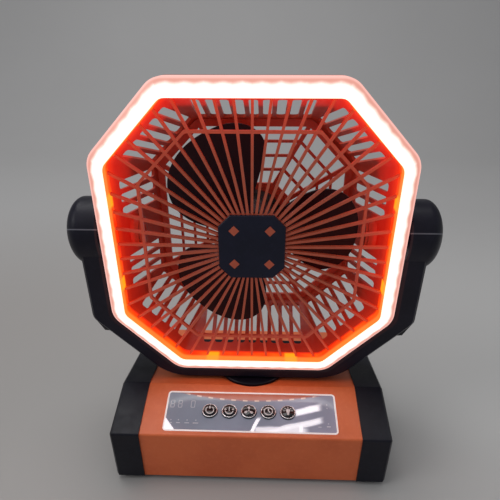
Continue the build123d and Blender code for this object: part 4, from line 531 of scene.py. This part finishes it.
def blob(outline, lift, centre, thick=0.06, sunk=0.05):
    """A printed filled shape that lies on the face or on a dome, as a closed shell."""
    cx, cup = centre
    count = len(outline)
    mx = sum(x for x, up in outline) / count
    mup = sum(up for x, up in outline) / count
    points, faces = [], []
    shares = (1.0, 0.66, 0.33)
    for share in shares:
        for x, up in outline:
            px, pup = mx + (x - mx) * share, mup + (up - mup) * share
            points.append(on_panel(cx + px, cup + pup, lift(px, pup) + thick))
    middle = len(points)
    points.append(on_panel(cx + mx, cup + mup, lift(mx, mup) + thick))
    for x, up in outline:
        points.append(on_panel(cx + x, cup + up, lift(x, up) - sunk))
    low, innermost = middle + 1, (len(shares) - 1) * count
    for i in range(count):
        j = (i + 1) % count
        for ring in range(len(shares) - 1):
            a, b = ring * count, (ring + 1) * count
            faces.append([a + i, a + j, b + j, b + i])
        faces.append([innermost + i, innermost + j, middle])
        faces.append([i, low + i, low + j, j])
    faces.append([low + i for i in range(count)])
    return points, faces


def arc(radius, start, end, steps=28, middle=(0.0, 0.0)):
    """Points of an arc, by angles in degrees, anticlockwise from the right."""
    angles = [math.radians(start + (end - start) * i / steps) for i in range(steps + 1)]
    return [(middle[0] + radius * math.cos(a), middle[1] + radius * math.sin(a)) for a in angles]


def line(start, end, steps=6):
    """Points of a straight line, so that it can follow a dome."""
    shares = [i / steps for i in range(steps + 1)]
    return [(start[0] + (end[0] - start[0]) * t, start[1] + (end[1] - start[1]) * t) for t in shares]


def turned(outline, degrees):
    """An outline turned about its origin."""
    c, s = math.cos(math.radians(degrees)), math.sin(math.radians(degrees))
    return [(x * c - up * s, x * s + up * c) for x, up in outline]


PEN, THIN_PEN = 0.75, 0.55
BULB_MIDDLE = 0.7
# a fan blade's outline: how far out along the blade, as a share, and how far across
PETAL = [
    (1.0 + 2.9 * reach, across) for reach, across in (
        (0, -0.2), (0.35, -0.95), (0.75, -1.15), (1.0, -0.5), (1.0, 0.45), (0.7, 0.95), (0.35, 0.6), (0, 0.2),
    )
]


def icon_shells(kind, centre):
    """The printed sign of one button: power, swing, fan, clock or bulb."""
    def draw(path, width=PEN, closed=False):
        return stroke(path, width, dome_lift, centre, closed=closed)

    def fill(outline):
        return blob(outline, dome_lift, centre)

    if kind == "power":
        return [draw(arc(3.1, 125, 415)), draw(line((0, 1.0), (0, 4.0)))]
    if kind == "swing":
        tips = [fill([(side * 2.1, 0.4), (side * 4.3, 0.2), (side * 3.0, 2.2)]) for side in (-1, 1)]
        return [draw(arc(3.2, 188, 352)), draw(line((0, -0.6), (0, 3.2)))] + tips
    if kind == "fan":
        return [fill(turned(PETAL, degrees)) for degrees in (90, 212, 328)] + [fill(arc(0.65, 0, 330, 11))]
    if kind == "clock":
        hands = [draw(line((0, -0.1), (0, 2.2))), draw(line((0, 0.1), (1.5, -1.2)))]
        return [draw(arc(3.3, 0, 352, 44), closed=True)] + hands
    neck = [(-0.85, -1.4), (-0.75, -3.0), (0.75, -3.0), (0.85, -1.4)]
    bulb = arc(1.75, -35, 215, 20, (0, BULB_MIDDLE)) + neck
    rays = []
    for angle in (math.radians(degrees) for degrees in (0, 45, 90, 135, 180)):
        ends = [(reach * math.cos(angle), BULB_MIDDLE + reach * math.sin(angle)) for reach in (2.7, 3.7)]
        rays.append(draw(line(*ends, 3), THIN_PEN))
    return [fill(bulb)] + rays


def button_ring(centre):
    """A chromed bead round a button's dome, as a closed shell."""
    steps, outer, inner, high, sunk = 72, 6.15, 5.45, 0.22, -0.1
    section = [
        (outer, sunk), (outer, high * 0.6), (outer - 0.2, high),
        (inner + 0.2, high), (inner, high * 0.5), (inner, sunk),
    ]
    points, faces = [], []
    count = len(section)
    for i in range(steps):
        angle = 2 * math.pi * i / steps
        for radius, rise in section:
            x, up = radius * math.cos(angle), radius * math.sin(angle)
            points.append(on_panel(centre[0] + x, centre[1] + up, dome_lift(x, up) + rise))
    for i in range(steps):
        j = (i + 1) % steps
        for k in range(count):
            m = (k + 1) % count
            faces.append([i * count + k, j * count + k, j * count + m, i * count + m])
    return points, faces


BUTTONS = (
    ("power", "power_key"), ("swing", "swing_key"), ("fan", "fan_speed_key"),
    ("clock", "timer_key"), ("bulb", "light_key"),
)
for i, (kind, key) in enumerate(BUTTONS):
    middle = (BUTTON_SHIFT + BUTTON_PITCH * (i - 2), PANEL_MIDDLE)
    solid_piece("icon_" + kind, icon_shells(kind, middle), print_white.material, key)
    ring = solid_piece("ring_" + kind, [button_ring(middle)], chrome.material, key)
    ring.data.polygons.foreach_set("use_smooth", [True] * len(ring.data.polygons))


def bar(start, end, width):
    """A straight mark on the flat panel."""
    return stroke(line(start, end, 2), width, flat_lift, (0, 0), INK, INK)


def dash(x, up, length, width=0.7):
    """A level mark on the flat panel, by its middle."""
    return bar((x - length / 2, up), (x + length / 2, up), width)


def dot(x, up, radius=0.5):
    """A round mark on the flat panel."""
    return blob(arc(radius, 0, 330, 11, (x, up)), flat_lift, (0, 0), INK, INK)


def seven_segments(x, up, width, height):
    """The bars of a display digit with all its segments shown."""
    w, h = width / 2, height / 2
    bars = [((-w, level * h), (w, level * h)) for level in (-1, 0, 1)]
    for side in (-1, 1):
        bars += [((side * w, part * 0.12 * h), (side * w, part * 0.88 * h)) for part in (-1, 1)]
    return [bar((x + a[0] * 0.8, up + a[1]), (x + b[0] * 0.8, up + b[1]), THIN_PEN) for a, b in bars]


DIGIT_XS, DIGIT_UP, DIGIT_WIDTH, DIGIT_HEIGHT = (-64.3, -58.0), 28.6, 3.6, 6.4
GAUGE_XS, GAUGE_UPS = (-49.0, -46.0), (25.6, 31.6)
RIGHT_X, DOT_UP, DASH_UP = 62.0, 13.9, 11.4
marks = [mark for x in DIGIT_XS for mark in seven_segments(x, DIGIT_UP, DIGIT_WIDTH, DIGIT_HEIGHT)]
marks += [bar((x, GAUGE_UPS[0]), (x, GAUGE_UPS[1]), 0.5) for x in GAUGE_XS]
marks += [bar((GAUGE_XS[0], up), (GAUGE_XS[1], up), 0.5) for up in reversed(GAUGE_UPS)]
for x, length in ((-63.6, 2.2), (-57.6, 3.0), (-50.6, 3.6), (-43.6, 4.4)):
    marks += [dot(x, DOT_UP), dash(x, DASH_UP, length)]
marks += [dot(RIGHT_X, 30.6, 0.55), dot(RIGHT_X, 27.4, 0.55), dot(RIGHT_X, DOT_UP - 0.5)]
marks += [dash(RIGHT_X, DASH_UP - 0.5, 3.0, 1.0), dash(RIGHT_X - 7.0, DASH_UP - 1.0, 2.4)]
solid_piece("panel_marks", marks, print_faint.material, "base")

# ------------------------------------------------------------------ floor and light
# a level floor that sweeps up into a wall behind the fan
FLOOR_HALF, FLOOR_FRONT, FLOOR_BACK, WALL_HEIGHT = 7, -4.0, 1.1, 5.0
SWEEP_RADIUS, SWEEP_STEPS = 0.9, 15
sweep = [(FLOOR_FRONT, 0.0), (FLOOR_BACK, 0.0)]
sweep += [
    (FLOOR_BACK + SWEEP_RADIUS * math.sin(angle), SWEEP_RADIUS - SWEEP_RADIUS * math.cos(angle))
    for angle in (math.radians(90 * i / SWEEP_STEPS) for i in range(1, SWEEP_STEPS + 1))
]
sweep += [(FLOOR_BACK + SWEEP_RADIUS, WALL_HEIGHT)]
floor_mesh = bpy.data.meshes.new("floor")
floor_mesh.from_pydata([(x, y, z) for y, z in sweep for x in (-FLOOR_HALF, FLOOR_HALF)], [],
                       [(2 * i, 2 * i + 1, 2 * i + 3, 2 * i + 2) for i in range(len(sweep) - 1)])
floor_mesh.polygons.foreach_set("use_smooth", [True] * len(floor_mesh.polygons))
floor = bpy.data.objects.new("floor", floor_mesh)
bpy.context.scene.collection.objects.link(floor)
ground = Graph("pale_floor")
cloud = ground.mix(ground.noise(3.0, 3.0), tone(0.43, 0.425, 0.42), tone(0.46, 0.455, 0.45))
# near the fan the floor is painted darker to the left and lighter to the right: painted shade and painted
# light
floor_left, floor_right = tone(0.385, 0.365, 0.35), tone(0.53, 0.525, 0.515)
nearby = ground.mix(ground.ramp(ground.axis("X"), -0.40, 0.40), floor_left, floor_right)
ground.give("Base Color", ground.mix(ground.ramp(ground.axis("Y"), 0.7, 0.1), cloud, nearby))
ground.give("Roughness", 0.6)
floor.data.materials.append(ground.material)

world = bpy.data.worlds.new("studio")
bpy.context.scene.world = world
world.use_nodes = True
background = world.node_tree.nodes["Background"]
background.inputs["Color"].default_value = (0.93, 0.95, 1.0, 1)
background.inputs["Strength"].default_value = 0.30

LIT_POINT = Vector((0, 0, 0.1))


def softbox(name, place, side, power):
    """A square soft light that points at the fan."""
    data = bpy.data.lights.new(name, "AREA")
    data.shape = "RECTANGLE"
    data.size, data.size_y = side, side
    data.energy = power
    lamp = bpy.data.objects.new(name, data)
    bpy.context.scene.collection.objects.link(lamp)
    lamp.location = place
    lamp.rotation_euler = (LIT_POINT - Vector(place)).to_track_quat("-Z", "Y").to_euler()


softbox("top_light", (-0.3, 0.5, 2.2), 1.6, 23.0)
softbox("side_light", (-1.8, -0.8, 1.6), 1.0, 8.0)
